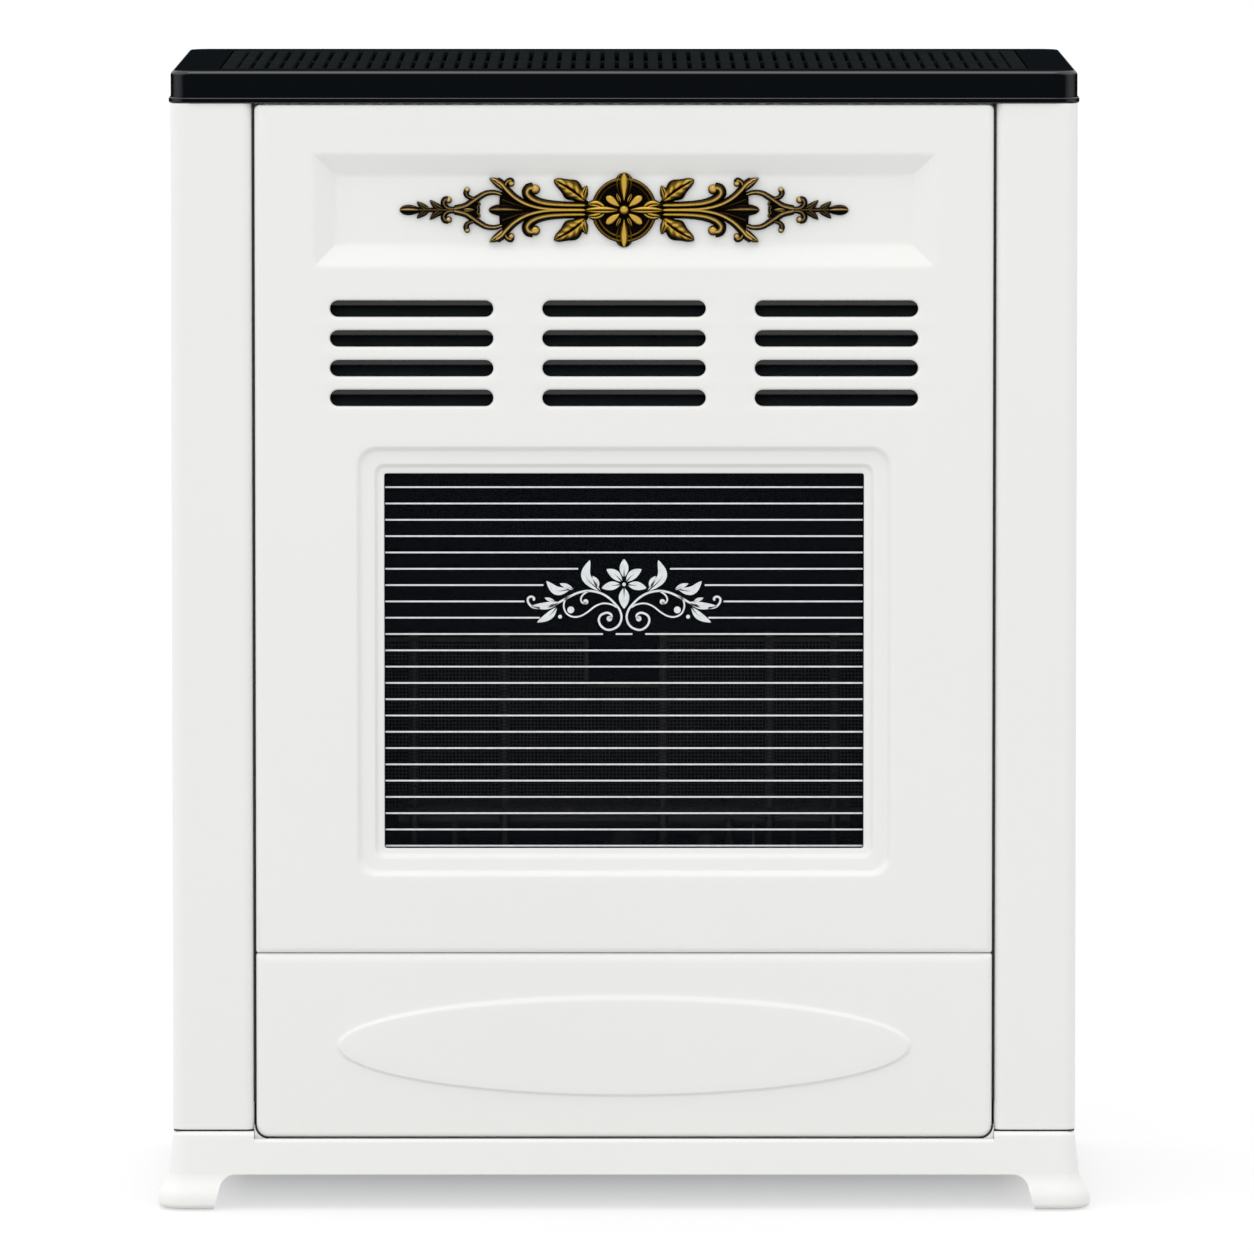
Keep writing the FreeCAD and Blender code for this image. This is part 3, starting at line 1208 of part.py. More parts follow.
def firebox():
    """Combustion box, open towards the window, with an outlet in its roof."""
    x = (-FIREBOX_HALF_WIDTH, FIREBOX_HALF_WIDTH)
    z = (FIREBOX_BOTTOM, FIREBOX_TOP)
    shell = hollow_box(x, (FIREBOX_FRONT, FIREBOX_BACK), z)
    mouth = box(grown(x, -SHEET), (FIREBOX_FRONT - 1, FIREBOX_FRONT + SHEET), grown(z, -SHEET))
    outlet_x, outlet_y = exchanger_span()
    inset = SHEET + FIREBOX_OUTLET_MARGIN
    outlet = box(grown(outlet_x, -inset), grown(outlet_y, -inset), (FIREBOX_TOP - PAST, FIREBOX_TOP + 1))
    pilot_x, pilot_y = pilot_hole_span()
    floor_z = grown((FIREBOX_BOTTOM, FIREBOX_FLOOR), 1)
    pilot_hole = box(pilot_x, pilot_y, floor_z)
    venturi_hole = pillar(0, BURNER_Y, floor_z, VENTURI_RADIUS + SCREW_HOLE_CLEARANCE)
    return shell.cut(mouth).cut(outlet).cut(pilot_hole).cut(venturi_hole)


def heat_exchanger():
    """Box on the combustion box's roof, open below, with a round way out at the back."""
    x, y = exchanger_span()
    top = FIREBOX_TOP + EXCHANGER_HEIGHT
    shell = hollow_box(x, y, (FIREBOX_TOP, top))
    below = box(grown(x, -SHEET), grown(y, -SHEET), (FIREBOX_TOP - 1, FIREBOX_TOP + SHEET))
    way_out = flue_bar((FIREBOX_BACK - PAST, FIREBOX_BACK + 1), FLUE_PASSAGE_RADIUS)
    return shell.cut(below).cut(way_out)


def baffle():
    """Shelf that sends the hot gas round to the back of the heat exchanger."""
    x, y = exchanger_span()
    z = FIREBOX_TOP + BAFFLE_RISE
    return box(grown(x, -SHEET), (y[0] + SHEET, y[1] - BAFFLE_GAP), (z, z + SHEET))


def draught_hood():
    """Box behind the heat exchanger, open below so that room air can join the flue gas."""
    x = (-HOOD_HALF_WIDTH, HOOD_HALF_WIDTH)
    low = FIREBOX_TOP + HOOD_RISE
    shell = hollow_box(x, (FIREBOX_BACK, HOOD_BACK), (low, low + HOOD_HEIGHT))
    below = box(grown(x, -SHEET), (FIREBOX_BACK + SHEET, HOOD_BACK - SHEET), (low - 1, low + SHEET))
    way_in = flue_bar((FIREBOX_BACK - 1, FIREBOX_BACK + PAST), FLUE_PASSAGE_RADIUS)
    way_out = flue_bar((HOOD_BACK - PAST, HOOD_BACK + 1), FLUE_RADIUS - FLUE_WALL)
    return shell.cut(below).cut(way_in).cut(way_out)


def flue_collar():
    """Flanged spigot that the flue pipe slides over, up to a stop bead."""
    end = REAR + COLLAR_REACH
    wall = flue_bar((HOOD_BACK, end), FLUE_RADIUS)
    flange = flue_bar((HOOD_BACK, HOOD_BACK + SHEET), FLUE_FLANGE_RADIUS)
    bead_start = REAR + FLUE_BEAD_GAP
    bead = flue_bar((bead_start, bead_start + FLUE_BEAD_WIDTH), FLUE_RADIUS + FLUE_BEAD)
    bore = flue_bar((HOOD_BACK - 1, end + 1), FLUE_RADIUS - FLUE_WALL)
    return fused([wall, flange, bead]).cut(bore)


def rear_heat_shield():
    """Sheet on studs in front of the rear panel, with a hole for the collar."""
    back = REAR - SHEET - SHIELD_GAP
    low = FIREBOX_BOTTOM
    high = FIREBOX_TOP + SHIELD_RISE
    x = (-SHIELD_HALF_WIDTH, SHIELD_HALF_WIDTH)
    sheet = front_plate(x, (low, high), (back - SHEET, back), REAR_ROUND)
    stud_heights = grown((low, high), -SHIELD_STUD_INSET)
    studs = [rod((stud_x, back - SHEET / 2, z), (stud_x, REAR - SHEET, z), SHIELD_STUD_RADIUS)
             for stud_x in (-SHIELD_STUD_X, SHIELD_STUD_X) for z in stud_heights]
    hole = flue_bar((back - PAST, back + PAST), FLUE_RADIUS + FLUE_HOLE_CLEARANCE)
    return fused([sheet] + studs).cut(hole)


def spill_switch():
    """Round temperature switch on the side of the draught hood."""
    x = HOOD_HALF_WIDTH
    y = (FIREBOX_BACK + HOOD_BACK) / 2
    tab_z = grown((FLUE_HEIGHT, FLUE_HEIGHT), SWITCH_RADIUS)
    tab = box((x, x + SHEET), grown((y, y), SWITCH_TAB_HALF_LENGTH), tab_z)
    return fused([tab, rod((x, y, FLUE_HEIGHT), (x + SWITCH_HEIGHT, y, FLUE_HEIGHT), SWITCH_RADIUS)])


# Burner and screen


def burner_tube():
    """Closed tube with a row of flame ports and a neck that stands on the venturi."""
    ends = ((-BURNER_HALF_LENGTH, BURNER_Y, BURNER_HEIGHT), (BURNER_HALF_LENGTH, BURNER_Y, BURNER_HEIGHT))
    inner_half = BURNER_HALF_LENGTH - BURNER_WALL
    inner_ends = ((-inner_half, BURNER_Y, BURNER_HEIGHT), (inner_half, BURNER_Y, BURNER_HEIGHT))
    neck_foot = venturi_top()
    neck = rod((0, BURNER_Y, neck_foot), (0, BURNER_Y, BURNER_HEIGHT), VENTURI_RADIUS)
    neck_way = rod((0, BURNER_Y, neck_foot - 1), (0, BURNER_Y, BURNER_HEIGHT), VENTURI_RADIUS - BURNER_WALL)
    tube = fused([rod(*ends, BURNER_RADIUS), neck])
    tube = tube.cut(rod(*inner_ends, BURNER_RADIUS - BURNER_WALL)).cut(neck_way)
    count = int(inner_half / PORT_PITCH)
    port_z = (BURNER_HEIGHT, BURNER_HEIGHT + PAST)
    ports = [pillar(i * PORT_PITCH, BURNER_Y, port_z, PORT_RADIUS) for i in range(-count + 1, count)]
    return tube.cut(Part.makeCompound(ports))


def burner_brackets():
    """Saddles that carry the burner on the combustion box's floor."""
    brackets = []
    for x in (-BURNER_BRACKET_X, BURNER_BRACKET_X):
        half = BURNER_RADIUS + 2 * SHEET
        span_y = (BURNER_Y - half, BURNER_Y + half)
        web = box((x - SHEET, x + SHEET), span_y, (FIREBOX_FLOOR, BURNER_HEIGHT))
        foot = box((x - SHEET, x + half), span_y, (FIREBOX_FLOOR, FIREBOX_FLOOR + SHEET))
        saddle = rod((x - PAST, BURNER_Y, BURNER_HEIGHT), (x + PAST, BURNER_Y, BURNER_HEIGHT),
                     BURNER_RADIUS + PAD_STEM_CLEARANCE)
        brackets.append(fused([web, foot]).cut(saddle))
    return Part.makeCompound(brackets)


def venturi_top():
    """Height where the burner's neck stands on the venturi."""
    return FIREBOX_FLOOR + VENTURI_RADIUS / 2 + SHEET


def venturi():
    """Mixing tube with a flared mouth, hung by a flange on the combustion box's floor."""
    throat = FIREBOX_BOTTOM - BURNER_WALL
    axis = lambda z: (0, BURNER_Y, z)
    flange = rod(axis(FIREBOX_FLOOR), axis(FIREBOX_FLOOR + SHEET), VENTURI_MOUTH_RADIUS)
    outer = fused([rod(axis(throat), axis(venturi_top()), VENTURI_RADIUS), flange,
                   cone(axis(VENTURI_BOTTOM), axis(throat), VENTURI_MOUTH_RADIUS, VENTURI_RADIUS)])
    bore = rod(axis(throat - 1), axis(venturi_top() + 1), VENTURI_RADIUS - BURNER_WALL)
    mouth = cone(axis(VENTURI_BOTTOM), axis(throat), VENTURI_MOUTH_RADIUS - BURNER_WALL,
                 VENTURI_RADIUS - BURNER_WALL)
    return outer.cut(bore).cut(mouth)


def injector_bottom():
    """Height where the burner pipe meets the injector."""
    return VENTURI_BOTTOM - INJECTOR_RADIUS - INJECTOR_HEIGHT


def injector():
    """Brass jet that points up into the venturi's mouth."""
    low = injector_bottom()
    body = hexagon((0, BURNER_Y, low), 2 * INJECTOR_RADIUS, INJECTOR_HEIGHT / 2, (0, 0, 1))
    tip = cone((0, BURNER_Y, low), (0, BURNER_Y, low + INJECTOR_HEIGHT),
               INJECTOR_FOOT_RADIUS, INJECTOR_TIP_RADIUS)
    return fused([body, tip])


def radiant_screen():
    """Flat wire net with a notch in the middle of its top edge."""
    y = (FRONT + SCREEN_SETBACK, FRONT + SCREEN_SETBACK + SCREEN_THICKNESS)
    x = (-SCREEN_HALF_WIDTH, SCREEN_HALF_WIDTH)
    plate = front_plate(x, (SCREEN_BOTTOM, SCREEN_TOP), y, 0)
    notch_z = SCREEN_TOP - SCREEN_NOTCH_DEPTH
    notch_x = (-SCREEN_NOTCH_HALF_WIDTH, SCREEN_NOTCH_HALF_WIDTH)
    plate = plate.cut(box(notch_x, grown(y, 1), (notch_z, SCREEN_TOP + 1)))
    field_x = grown(x, -SCREEN_FRAME)
    field_z = grown((SCREEN_BOTTOM, SCREEN_TOP), -SCREEN_FRAME)
    cell_x = (field_x[1] - field_x[0]) / SCREEN_COLUMNS
    cell_z = (field_z[1] - field_z[0]) / SCREEN_ROWS
    keep_x = SCREEN_NOTCH_HALF_WIDTH + SCREEN_FRAME / 2
    half_wire = SCREEN_WIRE / 2
    gaps = []
    for column in range(SCREEN_COLUMNS):
        left = field_x[0] + column * cell_x
        gap_x = grown((left, left + cell_x), -half_wire)
        beside = left > keep_x or left + cell_x < -keep_x
        for row in range(SCREEN_ROWS):
            low = field_z[0] + row * cell_z
            if beside or low + cell_z < notch_z - SCREEN_FRAME / 2:
                gaps.append(box(gap_x, grown(y, 1), grown((low, low + cell_z), -half_wire)))
    return plate.cut(Part.makeCompound(gaps))


def screen_posts():
    """Round posts on the combustion box's floor that hold the screen upright."""
    y = FRONT + SCREEN_SETBACK + SCREEN_THICKNESS + SCREEN_POST_RADIUS
    z = (FIREBOX_FLOOR, SCREEN_TOP + SCREEN_POST_RADIUS)
    return Part.makeCompound([pillar(x, y, z, SCREEN_POST_RADIUS) for x in SCREEN_POSTS])


# Pilot group

PILOT_PLATE_TOP = FIREBOX_FLOOR + SHEET
PILOT_COLLAR = 2.0
PILOT_TOP = FIREBOX_BOTTOM + 29.0
PROBE_TOP = FIREBOX_BOTTOM + 39.0
ELECTRODE_TOP = FIREBOX_BOTTOM + 23.0
SPARK_WIRE_RADIUS = 1.0
SPARK_WIRE_LENGTH = 13.0
PILOT_FOOT = FIREBOX_BOTTOM - 5.0
PROBE_FOOT = FIREBOX_BOTTOM - 10.0
ELECTRODE_FOOT = FIREBOX_BOTTOM - 7.0


def pilot_radii():
    """Radius of each upright of the pilot group, in order across."""
    return (PILOT_RADIUS, PROBE_RADIUS, ELECTRODE_RADIUS)


def pilot_bracket():
    """Plate over the pilot hole, with a hole for each upright."""
    x, y = pilot_hole_span()
    lap = PILOT_PLATE_MARGIN - PILOT_HOLE_MARGIN
    plate = box(grown(x, lap), grown(y, lap), (FIREBOX_FLOOR, PILOT_PLATE_TOP))
    for at, radius in zip(PILOT_PLACES, pilot_radii()):
        hole = radius + PAD_STEM_CLEARANCE
        plate = plate.cut(pillar(at, PILOT_Y, grown((FIREBOX_FLOOR, PILOT_PLATE_TOP), 1), hole))
    return plate


def upright(index, foot, top):
    """Round upright of the pilot group with a collar that rests on the plate."""
    x = PILOT_PLACES[index]
    radius = pilot_radii()[index]
    collar_z = (PILOT_PLATE_TOP, PILOT_PLATE_TOP + PILOT_COLLAR)
    collar = pillar(x, PILOT_Y, collar_z, radius + PILOT_COLLAR)
    return fused([pillar(x, PILOT_Y, (foot, top), radius), collar])


def pilot_burner():
    """Pilot tube with a hood that opens towards the burner."""
    x = PILOT_PLACES[0]
    body = upright(0, PILOT_FOOT, PILOT_TOP)
    window = box(grown((x, x), PILOT_RADIUS / 2), (PILOT_Y, PILOT_Y + PAST),
                 (PILOT_TOP - 2 * PILOT_RADIUS, PILOT_TOP - PILOT_RADIUS))
    return body.cut(window)


def thermocouple():
    return upright(1, PROBE_FOOT, PROBE_TOP)


def spark_electrode():
    """Insulator with a wire tip."""
    x = PILOT_PLACES[2]
    tip_z = (ELECTRODE_TOP - 1, ELECTRODE_TOP + SPARK_WIRE_LENGTH)
    tip = pillar(x, PILOT_Y, tip_z, SPARK_WIRE_RADIUS)
    return fused([upright(2, ELECTRODE_FOOT, ELECTRODE_TOP), tip])


# Gas valve and controls


def gas_valve():
    """Valve body with its control boss, inlet boss and three ports on top."""
    y = (VALVE_FRONT, VALVE_BACK)
    body = box((VALVE_LEFT, VALVE_RIGHT), y, (VALVE_BOTTOM, VALVE_TOP))
    body = body.makeFillet(2 * SHEET, [e for e in body.Edges if e.BoundBox.YLength > VALVE_DEPTH - 1])
    boss_front = VALVE_FRONT - VALVE_BOSS_LENGTH
    boss = rod((KNOB_X, boss_front, KNOB_HEIGHT), (KNOB_X, VALVE_FRONT + 1, KNOB_HEIGHT), VALVE_BOSS_RADIUS)
    inlet_y = FRONT + VALVE_INLET_SETBACK
    inlet_end = VALVE_LEFT - VALVE_INLET_BOSS
    inlet = rod((inlet_end, inlet_y, KNOB_HEIGHT), (VALVE_LEFT + 1, inlet_y, KNOB_HEIGHT),
                VALVE_INLET_RADIUS)
    top = VALVE_TOP + VALVE_PORT_HEIGHT
    ports = [rod((px, py, VALVE_TOP - 1), (px, py, top), PORT_BOSS_RADIUS)
             for px, py in ((PROBE_PORT_X, PILOT_Y), (PILOT_PORT_X, PILOT_Y))]
    outlet = rod((0, BURNER_Y, VALVE_TOP - 1), (0, BURNER_Y, top), PORT_BOSS_RADIUS + SHEET)
    bore_end = FRONT + SPINDLE_END_SETBACK + KNOB_STROKE + SHEET
    bore = rod((KNOB_X, boss_front - 1, KNOB_HEIGHT), (KNOB_X, bore_end, KNOB_HEIGHT),
               SLEEVE_RADIUS + SLEEVE_CLEARANCE)
    return fused([body, boss, inlet, outlet] + ports).cut(bore)


def valve_bracket():
    """Folded stand under the valve, on the floor pan."""
    x = grown((VALVE_LEFT, VALVE_RIGHT), -2 * SHEET)
    y = grown((VALVE_FRONT, VALVE_BACK), -3 * SHEET)
    outer = box(x, y, (PAN_TOP, VALVE_BOTTOM))
    inner = box(grown(x, -SHEET), grown(y, 1), (PAN_TOP - 1, VALVE_BOTTOM - SHEET))
    return outer.cut(inner)


def square_bar(side, y):
    """Square bar on the knob's axis between two depths."""
    half = side / 2
    return box((KNOB_X - half, KNOB_X + half), y, (KNOB_HEIGHT - half, KNOB_HEIGHT + half))


def spline_sleeve():
    """Sleeve that turns in the valve's bore and lets the square spindle slide through it."""
    start = VALVE_FRONT - VALVE_BOSS_LENGTH
    end = start + SLEEVE_LENGTH
    body = rod((KNOB_X, start, KNOB_HEIGHT), (KNOB_X, end, KNOB_HEIGHT), SLEEVE_RADIUS)
    return body.cut(square_bar(SPINDLE_SIDE + 2 * SPINDLE_CLEARANCE, (start - 1, end + 1)))


def spindle_start():
    """Depth where the spindle ends inside the knob."""
    return FRONT + KNOB_FRONT_SETBACK + KNOB_GRIP_DEPTH - 2 * SHEET


def valve_spindle():
    return square_bar(SPINDLE_SIDE, (spindle_start(), FRONT + SPINDLE_END_SETBACK))


def control_knob():
    """Round knob with a grip bar across its face."""
    front = FRONT + KNOB_FRONT_SETBACK
    base = front + KNOB_GRIP_DEPTH
    back = front + KNOB_LENGTH
    drum = rod((KNOB_X, base, KNOB_HEIGHT), (KNOB_X, back, KNOB_HEIGHT), KNOB_RADIUS)
    drum = drum.makeFillet(SHEET, edges_in_plane(drum, "Y", base))
    half = KNOB_GRIP_WIDTH / 2
    reach = KNOB_RADIUS - SHEET
    grip_x = (KNOB_X - half, KNOB_X + half)
    grip_z = (KNOB_HEIGHT - reach, KNOB_HEIGHT + reach)
    grip = front_plate(grip_x, grip_z, (front, base + 1), KNOB_GRIP_CORNER)
    grip = grip.makeFillet(SHEET, edges_in_plane(grip, "Y", front))
    return fused([drum, grip]).cut(square_bar(SPINDLE_SIDE, (spindle_start(), back + 1)))


def control_fascia():
    """Plate in front of the valve, with holes for the spindle and the igniter."""
    x = (-FASCIA_HALF_WIDTH, FASCIA_HALF_WIDTH)
    plate = box(x, (FASCIA_FRONT, FASCIA_BACK), (PAN_TOP, FASCIA_TOP))
    foot = box(x, (FASCIA_FRONT, FASCIA_BACK + FASCIA_FOOT), (PAN_TOP, PAN_TOP + SHEET))
    sizes = ((KNOB_X, FASCIA_HOLE_RADIUS), (PIEZO_X, PIEZO_NECK_RADIUS + PIEZO_CLEARANCE))
    holes = [rod((x_at, FASCIA_FRONT - 1, KNOB_HEIGHT), (x_at, FASCIA_BACK + 1, KNOB_HEIGHT), radius)
             for x_at, radius in sizes]
    return fused([plate, foot]).cut(Part.makeCompound(holes))


def piezo_front():
    """Depth of the igniter's front flange."""
    return FASCIA_FRONT - PIEZO_FLANGE_HEIGHT


def on_piezo_axis(y):
    """Point on the igniter's axis."""
    return (PIEZO_X, y, KNOB_HEIGHT)


def piezo_body():
    """Igniter body clamped through the fascia, with a terminal at its back."""
    body_end = FASCIA_BACK + PIEZO_BODY_LENGTH
    flange = rod(on_piezo_axis(piezo_front()), on_piezo_axis(FASCIA_FRONT), PIEZO_FLANGE_RADIUS)
    neck = rod(on_piezo_axis(piezo_front()), on_piezo_axis(FASCIA_BACK + 1), PIEZO_NECK_RADIUS)
    body = rod(on_piezo_axis(FASCIA_BACK), on_piezo_axis(body_end), PIEZO_BODY_RADIUS)
    terminal_end = body_end + PIEZO_TERMINAL_LENGTH
    terminal = rod(on_piezo_axis(body_end - 1), on_piezo_axis(terminal_end), PIEZO_TERMINAL_RADIUS)
    bore = rod(on_piezo_axis(piezo_front() - 1), on_piezo_axis(piezo_front() + PIEZO_BORE_DEPTH),
               BUTTON_RADIUS + BUTTON_CLEARANCE)
    return fused([flange, neck, body, terminal]).cut(bore)


def piezo_button():
    """Igniter button with a rounded front edge."""
    front = piezo_front() - BUTTON_PROUD
    end = piezo_front() + PIEZO_BORE_DEPTH - BUTTON_STROKE - SEAM
    button = rod(on_piezo_axis(front), on_piezo_axis(end), BUTTON_RADIUS)
    return button.makeFillet(SHEET, edges_in_plane(button, "Y", front))


# Gas pipes and leads


def inlet_start():
    """Depth where the gas pipe meets the inlet fitting."""
    return REAR - SHEET - INLET_NECK_LENGTH


def inlet_fitting():
    """Male gas stub behind the rear panel, with a hexagon against the panel and a neck through it."""
    hex_end = REAR + INLET_HEX_HEIGHT
    end = hex_end + INLET_STUB
    axis = lambda y: (INLET_X, y, KNOB_HEIGHT)
    nut = hexagon(axis(REAR), INLET_HEX_FLATS, INLET_HEX_HEIGHT, (0, 1, 0))
    stub = rod(axis(REAR), axis(end), INLET_RADIUS)
    neck = rod(axis(inlet_start()), axis(REAR + 1), INLET_NECK_RADIUS)
    return fused([nut, stub, neck]).cut(rod(axis(inlet_start() + SHEET), axis(end + 1), INLET_BORE_RADIUS))


def inlet_pipe():
    y = FRONT + VALVE_INLET_SETBACK
    points = [(VALVE_LEFT - VALVE_INLET_BOSS, y, KNOB_HEIGHT), (INLET_X, y, KNOB_HEIGHT),
              (INLET_X, inlet_start(), KNOB_HEIGHT)]
    return bent_bar(points, PIPE_RADIUS, PIPE_BEND)


def burner_pipe():
    """Short riser from the valve's outlet to the injector."""
    low = VALVE_TOP + VALVE_PORT_HEIGHT
    high = injector_bottom()
    nut = hexagon((0, BURNER_Y, low), 2 * PORT_BOSS_RADIUS, (high - low) / 2, (0, 0, 1))
    return fused([rod((0, BURNER_Y, low), (0, BURNER_Y, high), RISER_RADIUS), nut])


PILOT_PIPE_LEVEL = FIREBOX_BOTTOM - 27.0
PROBE_LEAD_LEVEL = FIREBOX_BOTTOM - 42.0
IGNITION_LEAD_LEVEL = FIREBOX_BOTTOM - 29.0
IGNITION_LEAD_DEPTH = 112.0


def pilot_pipe():
    x = PILOT_PLACES[0]
    port = VALVE_TOP + VALVE_PORT_HEIGHT
    points = [(x, PILOT_Y, PILOT_FOOT), (x, PILOT_Y, PILOT_PIPE_LEVEL),
              (PILOT_PORT_X, PILOT_Y, PILOT_PIPE_LEVEL), (PILOT_PORT_X, PILOT_Y, port)]
    return bent_bar(points, SMALL_PIPE_RADIUS, LEAD_BEND)


def thermocouple_lead():
    x = PILOT_PLACES[1]
    port = VALVE_TOP + VALVE_PORT_HEIGHT
    points = [(x, PILOT_Y, PROBE_FOOT), (x, PILOT_Y, PROBE_LEAD_LEVEL),
              (PROBE_PORT_X, PILOT_Y, PROBE_LEAD_LEVEL), (PROBE_PORT_X, PILOT_Y, port)]
    return bent_bar(points, LEAD_RADIUS, LEAD_BEND)


def ignition_lead():
    x = PILOT_PLACES[2]
    deep = FRONT + IGNITION_LEAD_DEPTH
    start = FASCIA_BACK + PIEZO_BODY_LENGTH + PIEZO_TERMINAL_LENGTH
    points = [on_piezo_axis(start), on_piezo_axis(deep), (x, deep, KNOB_HEIGHT),
              (x, deep, IGNITION_LEAD_LEVEL), (x, PILOT_Y, IGNITION_LEAD_LEVEL),
              (x, PILOT_Y, ELECTRODE_FOOT)]
    return bent_bar(points, LEAD_RADIUS, LEAD_BEND)


PIECES = (
    base_plinth, foot_pads, floor_pan, left_side_panel, right_side_panel, rear_panel,
    rear_panel_screws, front_panel, lower_door, door_hinge_leaves, hinge_brackets, hinge_pins,
    door_catch, door_striker, front_rail, top_rail, glass_gasket, window_glass, glass_clips,
    clip_nuts, vent_louvres, ornament, ornament_push_nuts, top_cover, top_grille,
    left_chassis_plate, right_chassis_plate, chassis_screws, firebox, heat_exchanger, baffle,
    draught_hood, flue_collar, rear_heat_shield, spill_switch, burner_tube, burner_brackets,
    venturi, injector, radiant_screen, screen_posts, pilot_bracket, pilot_burner, thermocouple,
    spark_electrode, gas_valve, valve_bracket, spline_sleeve, valve_spindle, control_knob,
    control_fascia, piezo_body, piezo_button, inlet_fitting, inlet_pipe, burner_pipe, pilot_pipe,
    thermocouple_lead, ignition_lead,
)


def main():
    os.makedirs("parts", exist_ok=True)
    for piece in PIECES:
        shape = piece()
        shape.exportStep("parts/" + piece.__name__ + ".step")
        print(piece.__name__, len(shape.Solids), round(shape.Volume, 1))


main()
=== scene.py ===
import bmesh
import bpy
import numpy as np
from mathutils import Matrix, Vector

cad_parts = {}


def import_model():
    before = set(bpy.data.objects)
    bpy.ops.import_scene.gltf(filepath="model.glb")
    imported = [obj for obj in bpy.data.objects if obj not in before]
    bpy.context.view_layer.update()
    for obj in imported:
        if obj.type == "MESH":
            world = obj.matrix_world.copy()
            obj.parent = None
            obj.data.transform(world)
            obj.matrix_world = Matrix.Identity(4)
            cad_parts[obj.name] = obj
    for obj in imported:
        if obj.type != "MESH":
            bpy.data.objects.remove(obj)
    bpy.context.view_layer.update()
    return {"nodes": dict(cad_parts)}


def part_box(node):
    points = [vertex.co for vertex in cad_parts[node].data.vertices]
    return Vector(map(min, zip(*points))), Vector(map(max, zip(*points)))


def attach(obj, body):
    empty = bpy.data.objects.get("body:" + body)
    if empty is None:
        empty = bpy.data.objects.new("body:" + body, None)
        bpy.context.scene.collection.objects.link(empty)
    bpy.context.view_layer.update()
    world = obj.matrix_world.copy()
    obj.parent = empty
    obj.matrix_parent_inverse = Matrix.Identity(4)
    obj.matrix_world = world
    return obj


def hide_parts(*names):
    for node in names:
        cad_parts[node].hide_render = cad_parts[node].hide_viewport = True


# Floor-standing gas heater. Pieces are worked out in millimetres in the frame's axes, with +Z up and
# the front facing -Y, and are turned into metres as they enter a mesh.

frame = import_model()

MM = 0.001

# Small distances: what welds, in metres, what counts as touching, and what keeps a divisor from nought
WELD = 2e-6
NEAR = 1e-3
TINY = 1e-6


def span(node):
    """Low and high corner of a node of the frame, in millimetres."""
    low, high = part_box(node)
    return np.array(low) / MM, np.array(high) / MM


# Places read from the frame
PANEL_LOW, PANEL_HIGH = span("front_panel")
DOOR_LOW, DOOR_HIGH = span("lower_door")
GLASS_LOW, GLASS_HIGH = span("window_glass")
GRILLE_LOW, GRILLE_HIGH = span("top_grille")
SCREEN_LOW, SCREEN_HIGH = span("radiant_screen")
ORNAMENT_LOW, ORNAMENT_HIGH = span("ornament")
COLUMN_LOW, COLUMN_HIGH = span("right_side_panel")
FRONT = PANEL_LOW[1]
ORNAMENT_Z = (ORNAMENT_LOW[2] + ORNAMENT_HIGH[2]) / 2

# Points along a quarter round: a sheet's edge or corner, a rim, and a small edge
EDGE_POINTS = 8
RIM_POINTS = 6
SMALL_POINTS = 5

# Edges of the pressed sheets
EDGE_ROUND = 3.5
EDGE_BORDER = 8.0
PANEL_TOP_ROUND = 1.0
PANEL_CORNER = (1.5, 3.5)

# Lower edge of the front panel, drawn down over the seam above the door
SEAM_COVER = 0.35

# Recess of the front panel
RECESS_HALF_WIDTH = 190.0
RECESS_HEIGHT = 69.2
RECESS_BELOW_TOP = 30.3
RECESS_BEVEL = 13.6
RECESS_DEPTH = 7.0
RECESS_BLEND = 1.6
RECESS_EASE = 2.0
RECESS_EASE_POINTS = 9

# Vent slots of the front panel
SLOT_LENGTH = 100.0
SLOT_HEIGHT = 10.2
SLOT_COLUMN_PITCH = 130.0
SLOT_ROW_PITCH = 18.25
SLOT_COLUMNS = 3
SLOT_ROWS = 4
SLOT_TOP_BELOW_TOP = 125.1
SLOT_RIM_ROUND = 1.8
SLOT_RIM_DEPTH = 4.5

# Window of the front panel: how far its steps lie out from its opening, and how deep they go
GLASS_LAP = 6.0
WINDOW_MARGIN = 22.8
OUTER_STEP = 16.6
OUTER_STEP_RUN = 2.8
OUTER_STEP_DEPTH = 3.0
INNER_STEP = 5.8
INNER_STEP_RUN = 2.0
STEP_EASE = 0.9
STEP_EASE_POINTS = 6
WINDOW_FLOOR = 5.5
WINDOW_SEAT = 7.0
WINDOW_LIP = 0.8
OPENING_CORNER = 1.5

# Corner round of the window at some distances out from its opening
WINDOW_CORNERS = (
    (0.0, 1.5), (INNER_STEP - INNER_STEP_RUN, 4.0), (INNER_STEP, 6.0), (OUTER_STEP - OUTER_STEP_RUN, 10.0),
    (OUTER_STEP, 12.0), (OUTER_STEP + 2.0, 12.0), (WINDOW_MARGIN, 0.0),
)

# Cells of the front panel's field, between the lines that all its pressings share
CELLS_ACROSS_SLOT = 13
CELLS_UP_SLOT = 4
LINES_UP_RECESS = 9
LINES_UP_WINDOW = 25

